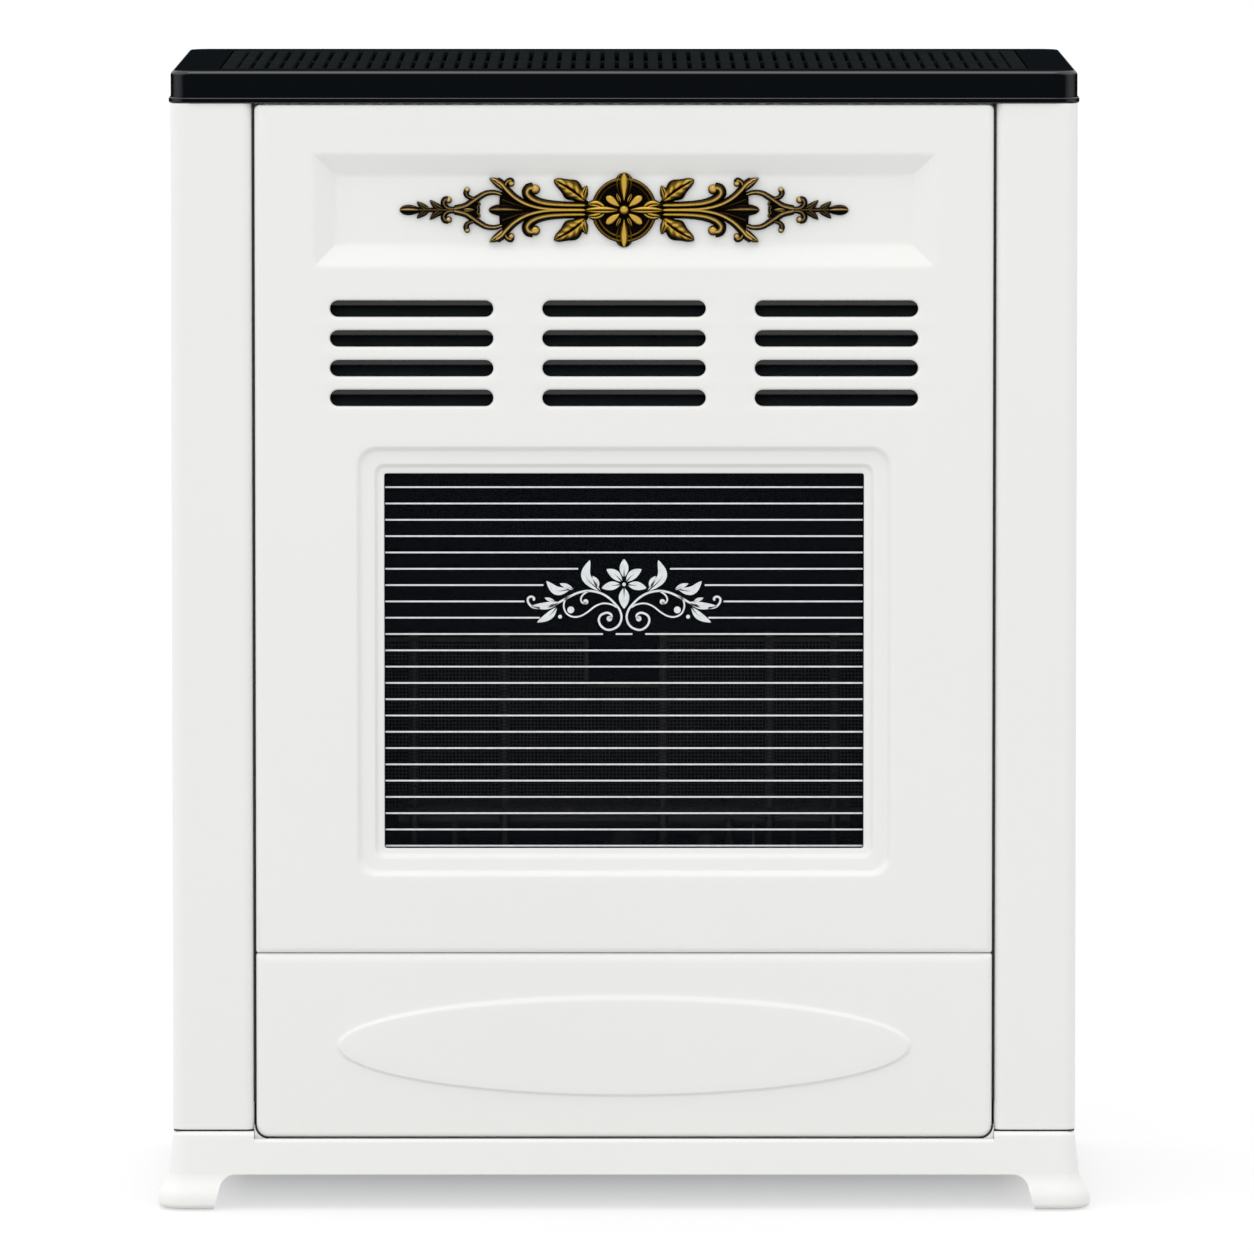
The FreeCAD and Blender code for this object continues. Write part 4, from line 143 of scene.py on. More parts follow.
# Lower door, with an ellipse whose slope is wider at its top and narrower at its bottom by a share. The rings
# inside it are given as the largest and the smallest share of its size and how many there are.
DOOR_CORNER = 7.5
DOOR_TOP_CORNER = 1.5
DOOR_TOP_ROUND = 6.0
DOOR_BORDER = 11.0
ELLIPSE_HALF_WIDTH = 177.0
ELLIPSE_HALF_HEIGHT = 31.5
ELLIPSE_RISE = 1.5
ELLIPSE_SLOPE = 2.4
ELLIPSE_EASE = 0.7
ELLIPSE_APRON = 3.0
ELLIPSE_ABOVE_BOTTOM = 56.7
ELLIPSE_LEAN = 0.35
ELLIPSE_SLOPE_POINTS = 14
ELLIPSE_RINGS = (0.85, 0.0, 7)
DOOR_LINES_ACROSS = 61
DOOR_LINES_UP = 17

# Notches in the door's bottom flange for the hinge arms, from the middle outwards
NOTCH = (200.85, 204.85)

# Corner pieces that fill the square below the door's rounds, behind the base's edge
CORNER_TURNS = 15
CORNER_PROUD = 1.3
CORNER_BOTTOM = 43.2
CORNER_GAP = 1.1
CORNER_LAP = 0.1
CORNER_FACE = 1.6
CORNER_STEP = 3.6
CORNER_BACK = 5.0

# Dark bands in the grooves of the corner pieces: painted shade where the grooves fall into shade
CORNER_SHADE_FACE = 2.2
CORNER_SHADE_CLEARANCE = 0.05

# Columns, as in the solid
COLUMN_GAP = 1.5
COLUMN_INSIDE = DOOR_HIGH[0] + COLUMN_GAP
COLUMN_INNER_ROUND = 6.0
COLUMN_OUTER_ROUND = 7.0
COLUMN_SEAM = 0.5

# Dark strips in the gaps beside the columns: painted shade, a dark sheet where the deep gaps fall into shade
STRIP_SETBACK = 4.0
STRIP_THICKNESS = 1.25
STRIP_WIDTH = 12.0
STRIP_ABOVE_DOOR_BOTTOM = 22.0

# Dark bands at the columns' feet, painted shade in the seam above the base: size, and the degrees that they
# turn through at the inner and the outer edge
SEAM_SHADE_BACK = 0.02
SEAM_SHADE_DEPTH = 0.45
SEAM_SHADE_HEIGHT = 1.0
SEAM_SHADE_TURNS = ((210.0, 270.0), (270.0, 330.0))
SEAM_SHADE_STEPS = 9


# Meshes


def put(name, data):
    """New object in the scene."""
    obj = bpy.data.objects.new(name, data)
    bpy.context.scene.collection.objects.link(obj)
    return obj


def piece(name, patch, finish, body="root", replaced=(), smooth_angle=32.0, attributes=None, closed=False):
    """Mesh object from a patch in millimetres, welded, smooth up to an angle, riding on a body."""
    points, faces = patch
    mesh = bpy.data.meshes.new(name)
    mesh.from_pydata((np.asarray(points) * MM).tolist(), [], [list(face) for face in faces])
    for label, values in (attributes or {}).items():
        layer = mesh.attributes.new(label, "FLOAT", "POINT")
        layer.data.foreach_set("value", np.asarray(values, dtype=np.float32))
    weld = bmesh.new()
    weld.from_mesh(mesh)
    bmesh.ops.remove_doubles(weld, verts=weld.verts, dist=WELD)
    if closed:
        bmesh.ops.recalc_face_normals(weld, faces=weld.faces)
    weld.to_mesh(mesh)
    weld.free()
    mesh.polygons.foreach_set("use_smooth", np.ones(len(mesh.polygons), dtype=bool))
    mesh.set_sharp_from_angle(angle=np.radians(smooth_angle))
    mesh.materials.append(FINISHES[finish])
    obj = put(name, mesh)
    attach(obj, body)
    if replaced:
        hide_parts(*replaced)


def joined(patches):
    """One patch from several, each a list of points and a list of faces."""
    points = []
    faces = []
    start = 0
    for patch_points, patch_faces in patches:
        points.append(patch_points)
        faces += (np.asarray(patch_faces) + start).tolist()
        start += len(patch_points)
    return np.concatenate(points), faces


def both_sides(patch):
    """A patch and its mirror image about the middle."""
    points, faces = patch
    return joined([(points, faces), (points * (-1.0, 1.0, 1.0), faces[:, ::-1])])


def stacked(*rows):
    """Points from their places on each axis, or faces from their corners, each one value or many."""
    return np.stack(np.broadcast_arrays(*rows), axis=-1)


def chain(*parts):
    """One row of values from single values and rows."""
    return np.concatenate([np.atleast_1d(part) for part in parts])


def quarter(count):
    """Even angles over a quarter turn."""
    return np.linspace(0, np.pi / 2, count)


def round_over(radius, count):
    """How far a quarter round lies from its flank and from its top, on its way from flank to top."""
    turn = quarter(count)
    return radius * (1 - np.cos(turn)), radius * (1 - np.sin(turn))


def circle(angle):
    """Places on a circle of radius one."""
    return stacked(np.cos(angle), np.sin(angle))


def skin(loops):
    """Surface through equal closed loops, outer loop first: each loop joins the next with a band of quads."""
    loops = np.asarray(loops, dtype=float)
    levels, count, _ = loops.shape
    row = np.arange(levels - 1)[:, None] * count
    here = np.arange(count)[None, :]
    ahead = (here + 1) % count
    quads = stacked(row + here, row + ahead, row + count + ahead, row + count + here)
    return loops.reshape(-1, 3), quads.reshape(-1, 4)


def capped(loops):
    """Skin whose first and last loop are closed towards their middles."""
    loops = np.asarray(loops, dtype=float)
    ends = np.broadcast_to(loops[[0, -1]].mean(axis=1, keepdims=True), (2,) + loops.shape[1:])
    return skin(chain(ends[:1], loops, ends[1:]))


def net(surface):
    """Quads between neighbouring points of an array of points, row by row."""
    rows, columns, _ = surface.shape
    index = np.arange(rows * columns).reshape(rows, columns)
    quads = stacked(index[:-1, :-1], index[:-1, 1:], index[1:, 1:], index[1:, :-1])
    return surface.reshape(-1, 3), quads.reshape(-1, 4)


def soft(t, blend):
    """A ramp that starts at nought: zero before, equal to t after, with a parabola over the blend between."""
    middle = (t + blend) ** 2 / (4 * blend)
    return np.where(t < -blend, 0.0, np.where(t > blend, t, middle))


def step(t, run, rise, blend):
    """Slope from nought up to a rise over a run, with both its ends eased by a blend."""
    return rise / run * (soft(t, blend) - soft(t - run, blend))


# Upright boxes: a low and a high value across, then a low and a high value upward


def face_of(low, high):
    """Upright box of a span."""
    return np.array([(low[0], high[0]), (low[2], high[2])])


def grown(box, margin):
    """Low and high values, each moved outwards by a margin."""
    return np.asarray(box) + margin * np.array([-1.0, 1.0])


def shares(grid, box):
    """Where the grid's lines inside a box lie along its width and its height, from nought to one."""
    found = []
    for lines, (low, high) in zip(grid, box):
        inside = lines[(lines > low - NEAR) & (lines < high + NEAR)]
        found.append((inside - low) / (high - low))
    return found


def frame_loop(box, radius, y, lines):
    """Loop round an upright box, counter-clockwise from its lower left as seen from the front.

    Each side holds the given shares of its straight run, and each corner a quarter circle in equal steps, of
    one radius or of a lower and an upper one.
    """
    x, z = box
    across, upward = lines
    arc = quarter(EDGE_POINTS)[1:-1]
    below, above = np.broadcast_to(radius, 2)
    low, high = z[0] + below, z[1] - above
    bottom_x = x[0] + below + (x[1] - x[0] - 2 * below) * across
    top_x = x[0] + above + (x[1] - x[0] - 2 * above) * across
    along_z = low + (high - low) * upward
    sides = [
        (bottom_x, z[0]),
        (x[1] - below * (1 - np.sin(arc)), low - below * np.cos(arc)),
        (x[1], along_z),
        (x[1] - above * (1 - np.cos(arc)), high + above * np.sin(arc)),
        (top_x[::-1], z[1]),
        (x[0] + above * (1 - np.sin(arc)), high + above * np.cos(arc)),
        (x[0], along_z[::-1]),
        (x[0] + below * (1 - np.cos(arc)), low - below * np.sin(arc)),
    ]
    return np.concatenate([stacked(side_x, y, side_z) for side_x, side_z in sides])


def loops_round(box, outwards, sunk, radius, lines):
    """Loops round a box, each moved outwards, sunk behind the front and rounded at its corners."""
    radius = np.broadcast_to(radius, len(outwards))
    return [frame_loop(grown(box, d), r, FRONT + y, lines) for d, y, r in zip(outwards, sunk, radius)]


def rectangle(box, y, lines):
    """Flat upright patch on the same shares as the loop round it."""
    wide, tall = np.meshgrid(*(low + (high - low) * share for (low, high), share in zip(box, lines)))
    return net(stacked(wide, y, tall))


def rolled_edge(box, corner, depth, lines, top_round=EDGE_ROUND, border=EDGE_BORDER):
    """Edge of a folded sheet: a flange from the back, a quarter-round shoulder, then a flat border."""
    x, z = box
    loops = [frame_loop(box, corner, FRONT + depth, lines)]
    for inset, back in zip(*round_over(EDGE_ROUND, EDGE_POINTS)):
        upright = (z[0] + inset, z[1] - inset * top_round / EDGE_ROUND)
        rounded = np.maximum(np.asarray(corner) - inset, 0.0)
        loops.append(frame_loop((grown(x, -inset), upright), rounded, FRONT + back, lines))
    loops.append(frame_loop(grown(box, -border), 0.0, FRONT, lines))
    return skin(loops)


# Front panel


def recess_pressing(box, lines):
    """Mitred recess: loops that sink by an eased step as they move inwards, then a flat floor."""
    ease = np.linspace(-RECESS_EASE, RECESS_EASE, RECESS_EASE_POINTS)
    inwards = chain(ease, RECESS_BEVEL + ease)
    sunk = step(inwards, RECESS_BEVEL, RECESS_DEPTH, RECESS_BLEND)
    outwards = -RECESS_EASE - inwards
    flat = rectangle(grown(box, outwards[-1]), FRONT + RECESS_DEPTH, lines)
    return [skin(loops_round(box, outwards, sunk, 0.0, lines)), flat]


def window_pressing(opening, lines):
    """Window: two eased steps down to a floor, then a round lip to the seat of the glass."""
    ease = np.linspace(STEP_EASE, -STEP_EASE, STEP_EASE_POINTS)
    edges = (OUTER_STEP, OUTER_STEP - OUTER_STEP_RUN, INNER_STEP, INNER_STEP - INNER_STEP_RUN)
    outwards = chain(WINDOW_MARGIN, *(edge + ease for edge in edges))
    sunk = step(OUTER_STEP - outwards, OUTER_STEP_RUN, OUTER_STEP_DEPTH, STEP_EASE)
    sunk += step(INNER_STEP - outwards, INNER_STEP_RUN, WINDOW_FLOOR - OUTER_STEP_DEPTH, STEP_EASE)
    corner = np.interp(outwards, *zip(*WINDOW_CORNERS))
    down, out = round_over(WINDOW_LIP, SMALL_POINTS)
    outwards = chain(outwards, out, 0.0)
    sunk = chain(sunk, WINDOW_FLOOR + down, WINDOW_SEAT)
    corner = chain(corner, np.full(len(out) + 1, OPENING_CORNER))
    return skin(loops_round(opening, outwards, sunk, corner, lines))


def vent_slots(block, grid):
    """Vents, each a round-ended slot with a rolled-in rim in its own cell of a block."""
    down, out = round_over(SLOT_RIM_ROUND, RIM_POINTS)
    margin = chain(out, 0.0)
    depth = chain(down, SLOT_RIM_DEPTH)
    pitch = np.array([SLOT_COLUMN_PITCH, SLOT_ROW_PITCH])
    inset = (pitch - (SLOT_LENGTH, SLOT_HEIGHT)) / 2
    patches = []
    for column in range(SLOT_COLUMNS):
        for row in range(SLOT_ROWS):
            start = block[:, 0] + pitch * (column, row)
            cell = stacked(start, start + pitch)
            slot = grown(cell, -inset[:, None])
            lines = shares(grid, cell)
            edge = frame_loop(cell, 0.0, FRONT, lines)
            patches.append(skin([edge] + loops_round(slot, margin, depth, SLOT_HEIGHT / 2 + margin, lines)))
    return patches


def front_panel():
    """Pressed sheet: a flat field with a mitred recess, rolled-in vent slots and a window in two steps."""
    box = face_of(PANEL_LOW, PANEL_HIGH)
    box[1, 0] -= SEAM_COVER
    top = box[1, 1]
    field = grown(box, -EDGE_BORDER)
    recess_top = top - RECESS_BELOW_TOP
    recess = [(-RECESS_HALF_WIDTH, RECESS_HALF_WIDTH), (recess_top - RECESS_HEIGHT, recess_top)]
    recess = grown(recess, RECESS_EASE)
    half = SLOT_COLUMN_PITCH * SLOT_COLUMNS / 2
    block_top = top - SLOT_TOP_BELOW_TOP + SLOT_ROW_PITCH / 2
    block = np.array([(-half, half), (block_top - SLOT_ROW_PITCH * SLOT_ROWS, block_top)])
    opening = grown(face_of(GLASS_LOW, GLASS_HIGH), -GLASS_LAP)
    window = grown(opening, WINDOW_MARGIN)

    slots_across = np.linspace(*block[0], CELLS_ACROSS_SLOT * SLOT_COLUMNS + 1)
    slots_up = np.linspace(*block[1], CELLS_UP_SLOT * SLOT_ROWS + 1)
    recess_up = np.linspace(*recess[1], LINES_UP_RECESS)
    window_up = np.linspace(*window[1], LINES_UP_WINDOW)
    across = chain(slots_across, field[0], recess[0], window[0])
    upward = chain(slots_up, field[1], recess_up, window_up)
    grid = [np.unique(np.round(lines, 4)) for lines in (across, upward)]
    wide, tall = np.meshgrid(*grid)
    points, cells = net(stacked(wide, FRONT, tall))
    middle = points[cells].mean(axis=1)[:, [0, 2]]
    kept = np.ones(len(cells), dtype=bool)
    for hole in (recess, block, window):
        kept &= ~((middle > hole[:, 0]) & (middle < hole[:, 1])).all(axis=1)

    patches = [
        (points, cells[kept]),
        rolled_edge(box, PANEL_CORNER, PANEL_HIGH[1] - FRONT, shares(grid, field), PANEL_TOP_ROUND),
        *recess_pressing(recess, shares(grid, recess)),
        window_pressing(opening, shares(grid, window)),
        *vent_slots(block, grid),
    ]
    piece("front_panel_sheet", joined(patches), "white_enamel", replaced=["front_panel"])


# Lower door, and the trim round it


def lower_door():
    """Drop-down door: rolled edges, then loops that pass from a rectangle into a raised ellipse.

    Each loop's points keep their angle round the ellipse's middle. The loops rise by an eased step as they
    move inwards, further by a share of the angle's sine, and then shrink to the middle at one height.
    """
    box = face_of(DOOR_LOW, DOOR_HIGH)
    straight = grown(box[0], -DOOR_CORNER)
    notches = np.array([*NOTCH, -NOTCH[0], -NOTCH[1]])
    notch_shares = (notches - straight[0]) / (straight[1] - straight[0])
    across = np.unique([*np.linspace(0, 1, DOOR_LINES_ACROSS), *notch_shares])
    lines = (across, np.linspace(0, 1, DOOR_LINES_UP))
    corner = (DOOR_CORNER, DOOR_TOP_CORNER)
    points, faces = rolled_edge(box, corner, DOOR_HIGH[1] - FRONT, lines, DOOR_TOP_ROUND, DOOR_BORDER)
    middle = points[faces].mean(axis=1)
    flange = (middle[:, 1] > FRONT + EDGE_ROUND) & (middle[:, 2] < DOOR_LOW[2] + NEAR)
    notched = (np.abs(middle[:, 0]) > NOTCH[0]) & (np.abs(middle[:, 0]) < NOTCH[1])
    edge = (points, faces[~(flange & notched)])
    border = frame_loop(grown(box, -DOOR_BORDER), 0.0, FRONT, lines)
    middle_z = DOOR_LOW[2] + ELLIPSE_ABOVE_BOTTOM
    angle = np.arctan2((border[:, 2] - middle_z) / ELLIPSE_HALF_HEIGHT, border[:, 0] / ELLIPSE_HALF_WIDTH)
    slope = np.linspace(-ELLIPSE_EASE, ELLIPSE_SLOPE + ELLIPSE_EASE, ELLIPSE_SLOPE_POINTS)
    inwards = chain(-ELLIPSE_APRON, slope)
    rise = step(inwards, ELLIPSE_SLOPE, ELLIPSE_RISE, ELLIPSE_EASE)
    inwards = inwards[:, None] * (1 + ELLIPSE_LEAN * np.sin(angle))
    size = stacked(ELLIPSE_HALF_WIDTH - inwards, ELLIPSE_HALF_HEIGHT - inwards)
    shrink = np.linspace(*ELLIPSE_RINGS)[:, None, None]
    size = chain(size, size[-1] * shrink)
    rise = chain(rise, np.full(len(shrink), ELLIPSE_RISE))
    loops = [border]
    for flat, up in zip(size * circle(angle), rise):
        loops.append(stacked(flat[:, 0], FRONT - up, middle_z + flat[:, 1]))
    sheet = joined([edge, skin(loops)])
    piece("lower_door_sheet", sheet, "white_enamel", body="door", replaced=["lower_door"])


def round_door_corners(radius, depth):
    """Closed forms round the door's lower corners, from a row of radii at each turn and their depths."""
    turn = quarter(CORNER_TURNS)[:, None]
    x = DOOR_HIGH[0] - DOOR_CORNER + radius * np.sin(turn)
    z = DOOR_LOW[2] + DOOR_CORNER - radius * np.cos(turn)
    return both_sides(capped(stacked(x, FRONT + np.array(depth), z)))


def door_corners():
    """Corner pieces of the door: a square less a round, stepped back to meet the door's edge.

    From the round's middle, the square's edge is as far as its side or its bottom, whichever is nearer.
    """
    turn = quarter(CORNER_TURNS)
    sideways = (DOOR_CORNER + CORNER_PROUD) / np.maximum(np.sin(turn), TINY)
    downward = (DOOR_LOW[2] + DOOR_CORNER - CORNER_BOTTOM) / np.maximum(np.cos(turn), TINY)
    outer = np.minimum(sideways, downward)
    inner = np.full_like(turn, DOOR_CORNER + CORNER_GAP)
    held = np.full_like(turn, DOOR_CORNER - CORNER_LAP)
    radius = stacked(inner, outer, outer, held, held, inner)
    depth = (CORNER_FACE, CORNER_FACE, CORNER_BACK, CORNER_BACK, CORNER_STEP, CORNER_STEP)
    piece("door_corners", round_door_corners(radius, depth), "white_enamel", body="door", closed=True)


def corner_groove_shade():
    """Dark quarter rings, each in the groove between the door and a corner piece: painted shade, dark pieces
    that stand in for the shade in the grooves.
    """
    near, far = grown((DOOR_CORNER, DOOR_CORNER + CORNER_GAP), -CORNER_SHADE_CLEARANCE)
    back = CORNER_STEP - CORNER_SHADE_CLEARANCE
    depth = (CORNER_SHADE_FACE, CORNER_SHADE_FACE, back, back)
    patch = round_door_corners(np.array([near, far, far, near]), depth)
    piece("corner_groove_shade", patch, "rubber", body="door", closed=True)


def gap_shade_strips():
    """Dark strips on the columns' inner returns, in the gaps beside the front panel and the door: painted
    shade, a dark sheet that stands in for the shade in the deep gaps.

    Each is a rectangle carried from above the door's bottom to the panel's top.
    """
    near, far = COLUMN_INSIDE - STRIP_THICKNESS, COLUMN_INSIDE
    front, back = FRONT + STRIP_SETBACK, FRONT + STRIP_SETBACK + STRIP_WIDTH
    ends = (DOOR_LOW[2] + STRIP_ABOVE_DOOR_BOTTOM, PANEL_HIGH[2])
    loops = [stacked((near, far, far, near), (front, front, back, back), z) for z in ends]
    piece("gap_shade_strips", both_sides(capped(loops)), "rubber", closed=True)


def column_seam_shade():
    """Dark bands at the columns' feet, painted shade in the seam above the base: a rectangle carried round a
    column's two round edges and its front.
    """
    turn = np.radians(chain(*(np.linspace(*ends, SEAM_SHADE_STEPS) for ends in SEAM_SHADE_TURNS)))[:, None]
    radius = np.repeat([COLUMN_INNER_ROUND, COLUMN_OUTER_ROUND], SEAM_SHADE_STEPS)[:, None]
    middle = (COLUMN_INSIDE + COLUMN_INNER_ROUND, COLUMN_HIGH[0] - COLUMN_OUTER_ROUND)
    x = np.repeat(middle, SEAM_SHADE_STEPS)[:, None]
    out = radius + np.array([SEAM_SHADE_BACK, SEAM_SHADE_DEPTH, SEAM_SHADE_DEPTH, SEAM_SHADE_BACK])
    low = COLUMN_LOW[2] - COLUMN_SEAM
    z = np.array([low, low, low + SEAM_SHADE_HEIGHT, low + SEAM_SHADE_HEIGHT])
    loops = stacked(x + out * np.cos(turn), FRONT + radius + out * np.sin(turn), z)
    piece("column_seam_shade", both_sides(capped(loops)), "rubber", closed=True)


# Lips of the louvres behind the slots

LOUVRE_LIP_SETBACK = 6.0
LOUVRE_LIP_THICKNESS = 1.0
LOUVRE_LIP_ROUND = 1.6
LOUVRE_LIP_LOW = 1.2
LOUVRE_LIP_HIGH = 8.0
LOUVRE_HALF_LENGTH = 196.0


def louvre_lips():
    """Bent upper lips of the vents, one to a row: a sheet whose lower edge turns back in a quarter round."""
    turn = quarter(RIM_POINTS)[::-1]
    outer = LOUVRE_LIP_ROUND
    inner = LOUVRE_LIP_ROUND - LOUVRE_LIP_THICKNESS
    y = chain(0.0, outer * (1 - np.sin(turn)), outer - inner * np.sin(turn[::-1]), LOUVRE_LIP_THICKNESS)
    bend = LOUVRE_LIP_LOW + outer - chain(outer * np.cos(turn), inner * np.cos(turn[::-1]))
    z = chain(LOUVRE_LIP_HIGH, bend, LOUVRE_LIP_HIGH)
    ends = (-LOUVRE_HALF_LENGTH, LOUVRE_HALF_LENGTH)
    points, faces = capped([stacked(x, FRONT + LOUVRE_LIP_SETBACK + y, z) for x in ends])
    top = PANEL_HIGH[2] - SLOT_TOP_BELOW_TOP
    rows = [(points + (0.0, 0.0, top - SLOT_ROW_PITCH * row), faces) for row in range(SLOT_ROWS)]
    piece("louvre_lips", joined(rows), "gloss_black", closed=True)


# Ornament, in places counted from its middle

ORNAMENT_BACK = FRONT + RECESS_DEPTH - 0.2

# Sections along a leaf, for each point of a scroll and along a web, and points round and up a round form
LEAF_SECTIONS = 33
SCROLL_SECTIONS = 9
WEB_SECTIONS = 61
ROUND_POINTS = 48
BALL_POINTS = 7

# Cross-sections: how high and how bright each place is, from one edge to the other
ACROSS = np.abs(np.linspace(-1, 1, 25))


def dome(reach):
    """Half ellipse over the middle that comes down at a reach from it."""
    return np.sqrt(np.clip(1 - (ACROSS / reach) ** 2, 0, 1))


def crest(at, width):
    """Bell curve of height one at a distance from the middle."""
    return np.exp(-((ACROSS - at) / width) ** 2)


def fade(end, run):
    """From one down to nought over the run before an end."""
    return np.clip((end - ACROSS) / run, 0, 1)


ROUND_FORM = 0.35 + 0.65 * dome(0.8)
ROUND_SHINE = fade(0.62, 0.58)
LEAF_FORM = (0.4 + 0.6 * dome(0.9)) * (1 - 0.4 * crest(0.0, 0.12))
LEAF_SHINE = fade(0.94, 0.55) * np.clip((ACROSS - 0.02) / 0.13, 0.05, 1)
PETAL_FORM = 0.45 + 0.55 * crest(0.0, 0.36) + 0.25 * crest(0.76, 0.09)
PETAL_SHINE = fade(0.58, 0.4) + 0.95 * crest(0.77, 0.07)
BUD_FORM = 0.4 + 0.6 * dome(0.85)
BUD_SHINE = fade(0.84, 0.4)
DARK_FORM = 0.8 + 0.2 * dome(1.0)
DARK_SHINE = 0.25 * crest(0.5, 0.1)

# Notched leaf: depth of its notches, and number, slant and darkness of its side veins
NOTCH_DEPTH = 0.2
LEAF_VEINS = 5
VEIN_SLANT = 1.2
VEIN_DARK = 0.35

# Disc: radius, height and shine of each step out from the middle
DISC_STEPS = (
    (0, 1.3, 0.1), (14.6, 1.3, 0.1), (15.6, 1.4, 0.1), (16, 2.2, 0.4), (16.6, 2.4, 0.55), (17.1, 1.6, 0.1),
    (18, 1.6, 0.1), (18.4, 2.5, 0.5), (19.2, 2.6, 0.65), (19.8, 2, 0.1), (20.1, 0.8, 0), (20.1, 0, 0),
    (0, 0, 0),
)

# Leaves of one quarter: root, a point on the way, tip, half width, notches along the edge, height, shine
QUARTER_LEAVES = (
    ((23.4, 5.4), (32.2, 12.4), (43, 18.6), 6.6, 2, 3.9, 1),
    ((25, 5.4), (24.6, 10), (22.8, 15), 2.6, 0, 3.2, 0.8),
    ((11, 0.8), (16.6, 3.6), (22.8, 3.6), 2.9, 0, 3.8, 1),
    ((2, 4.2), (3.4, 7.2), (4.9, 10.6), 1.7, 0, 3.4, 0.9),
    ((71, 10.8), (76.4, 16), (82.4, 19.6), 2.7, 0, 3.6, 0.9),
    ((110, 0.2), (114.4, 2), (118.9, 6), 2.2, 0, 2.8, 0.55),
    ((119, 0.2), (122.8, 1.8), (126.8, 5.2), 2.1, 0, 2.8, 0.55),
)

# Buds of one quarter, and petals of the middle lines
QUARTER_BUDS = (((2.2, 1.8), (6.6, 5), (11, 8.6), 3.4, 0, 4.2, 1),)
UPRIGHT_PETAL = ((0, 4.4), (0, 14), (0, 22.9), 5.6, 0, 4.2, 1)
SIDE_PETALS = (
    ((60, 0), (71, 0), (83, 0), 3.6, 0, 3, 0.55),
    ((123, 0), (130, 0), (137.4, 0), 3.2, 0, 3, 0.65),
)

# Leaves on the middle line of one side
SIDE_LEAVES = (
    ((3, 0), (14, 0), (25.4, 0), 3, 0, 4.4, 1),
    ((100, 0), (96, 0), (91, 0), 2, 0, 3, 0.8),
)

# Scroll lines of one quarter: points, half width, height, shine
QUARTER_SCROLLS = (
    (((23, 2.8), (37, 3), (48, 3.9), (55.6, 6.3), (59.2, 9.8), (58.4, 12.9), (55.2, 13.6)),
     3.3, 3.7, 0.95),
    (((23, 0.2), (37, 0.2), (48.4, 0.7), (58.2, 2.9), (66, 6.9), (71.4, 11.7), (75, 15.8), (78.6, 18.2)),
     2.6, 3.9, 1),
    (((73, 13.2), (72, 16.6), (69.6, 17.9), (68.6, 16.4)), 2, 3.2, 0.9),
    (((74.6, 9.4), (79, 10.7), (84, 10.3), (88.4, 8), (92.8, 5), (97.4, 2.2), (104.6, 0.5)), 2.2, 3.5, 0.9),
    (((91.4, 6.8), (95.2, 8), (96.6, 10.2), (96, 12.6)), 1.8, 2.9, 0.7),
    (((102, 0.6), (107.6, 1), (110.2, 3.4), (109.6, 6), (107.2, 6.4)), 2.1, 3.2, 0.8),
    (((89.8, 5.4), (88.4, 3.6), (89.8, 1.8), (89.2, 0)), 0.9, 2.8, 0.8),
    (((58, 1.2), (67, 3.6), (75, 6.6)), 0.7, 2.4, 0.5),
)

# Round ends of one quarter: place, radius, height
QUARTER_BALLS = (
    ((54.4, 12.6), 3.1, 4),
    ((69, 16.2), 2, 3.4),
    ((96, 12.4), 1.7, 3),
    ((107.4, 6), 2.1, 3.3),
)

# Dark webs of one side: places along the middle line, half width there, height
SIDE_WEBS = (
    ((46, 54, 58, 66, 71, 74, 76, 76.6), (0.2, 1.4, 2.8, 6.6, 10.6, 11.4, 10, 0.2), 1.9),
    ((88, 88.8, 90.2, 92.6, 97.4, 104), (0.2, 5, 5.8, 5, 2.2, 0.2), 1.9),
    ((18, 23, 28, 36, 40), (0.2, 6.4, 6, 3.6, 0.2), 1.9),
)

# Stem of each end sprig, as a scroll line, and the bead in the flower, as a round end
SIDE_STEMS = ((((104, 0), (115, 0), (126, 0)), 1.5, 3, 0.6),)
BEAD = ((0, 0), 3.1, 5.8)


def curve(points, count):
    """Smooth line through points: on each span a cubic whose slope at a point is half the step past it."""
    points = np.asarray(points, dtype=float)
    padded = np.concatenate([[2 * points[0] - points[1]], points, [2 * points[-1] - points[-2]]])
    at = np.linspace(0, len(points) - 1, count)
    index = np.minimum(at.astype(int), len(points) - 2)
    t = (at - index)[:, None]
    before, start, end, after = (padded[index + k] for k in range(4))
    square = 2 * before - 5 * start + 4 * end - after
    cube = 3 * start - before - 3 * end + after
    return 0.5 * (2 * start + (end - before) * t + square * t ** 2 + cube * t ** 3)


def beside(line, out):
    """Rows of places beside a line in a plane, each at a distance to the left of it."""
    heading = np.gradient(line, axis=0)
    heading /= np.linalg.norm(heading, axis=1, keepdims=True)
    left = stacked(-heading[:, 1], heading[:, 0])
    return line[:, None, :] + left[:, None, :] * out[..., None]


def raised(flat, up, shine):
    """Patch of the ornament from places in its own plane and heights over its back, with its shine."""
    patch = skin(stacked(flat[..., 0], ORNAMENT_BACK - up, ORNAMENT_Z + flat[..., 1]))
    return patch, shine.reshape(-1)


def band(line, half_width, height, form, shine):
    """Relief along a line: sections of the given half width and height follow one form over a flat back."""
    across = chain(np.linspace(-1, 1, len(form)), 1.0, -1.0)
    shine = np.broadcast_to(shine, (len(line), len(form)))
    shine = np.concatenate([shine, np.zeros((len(line), 2))], axis=1)
    shine *= np.clip(3 * half_width / half_width.max(), 0, 1)[:, None]
    up = height[:, None] * chain(form, 0.0, 0.0)
    return raised(beside(line, half_width[:, None] * across), up, shine)


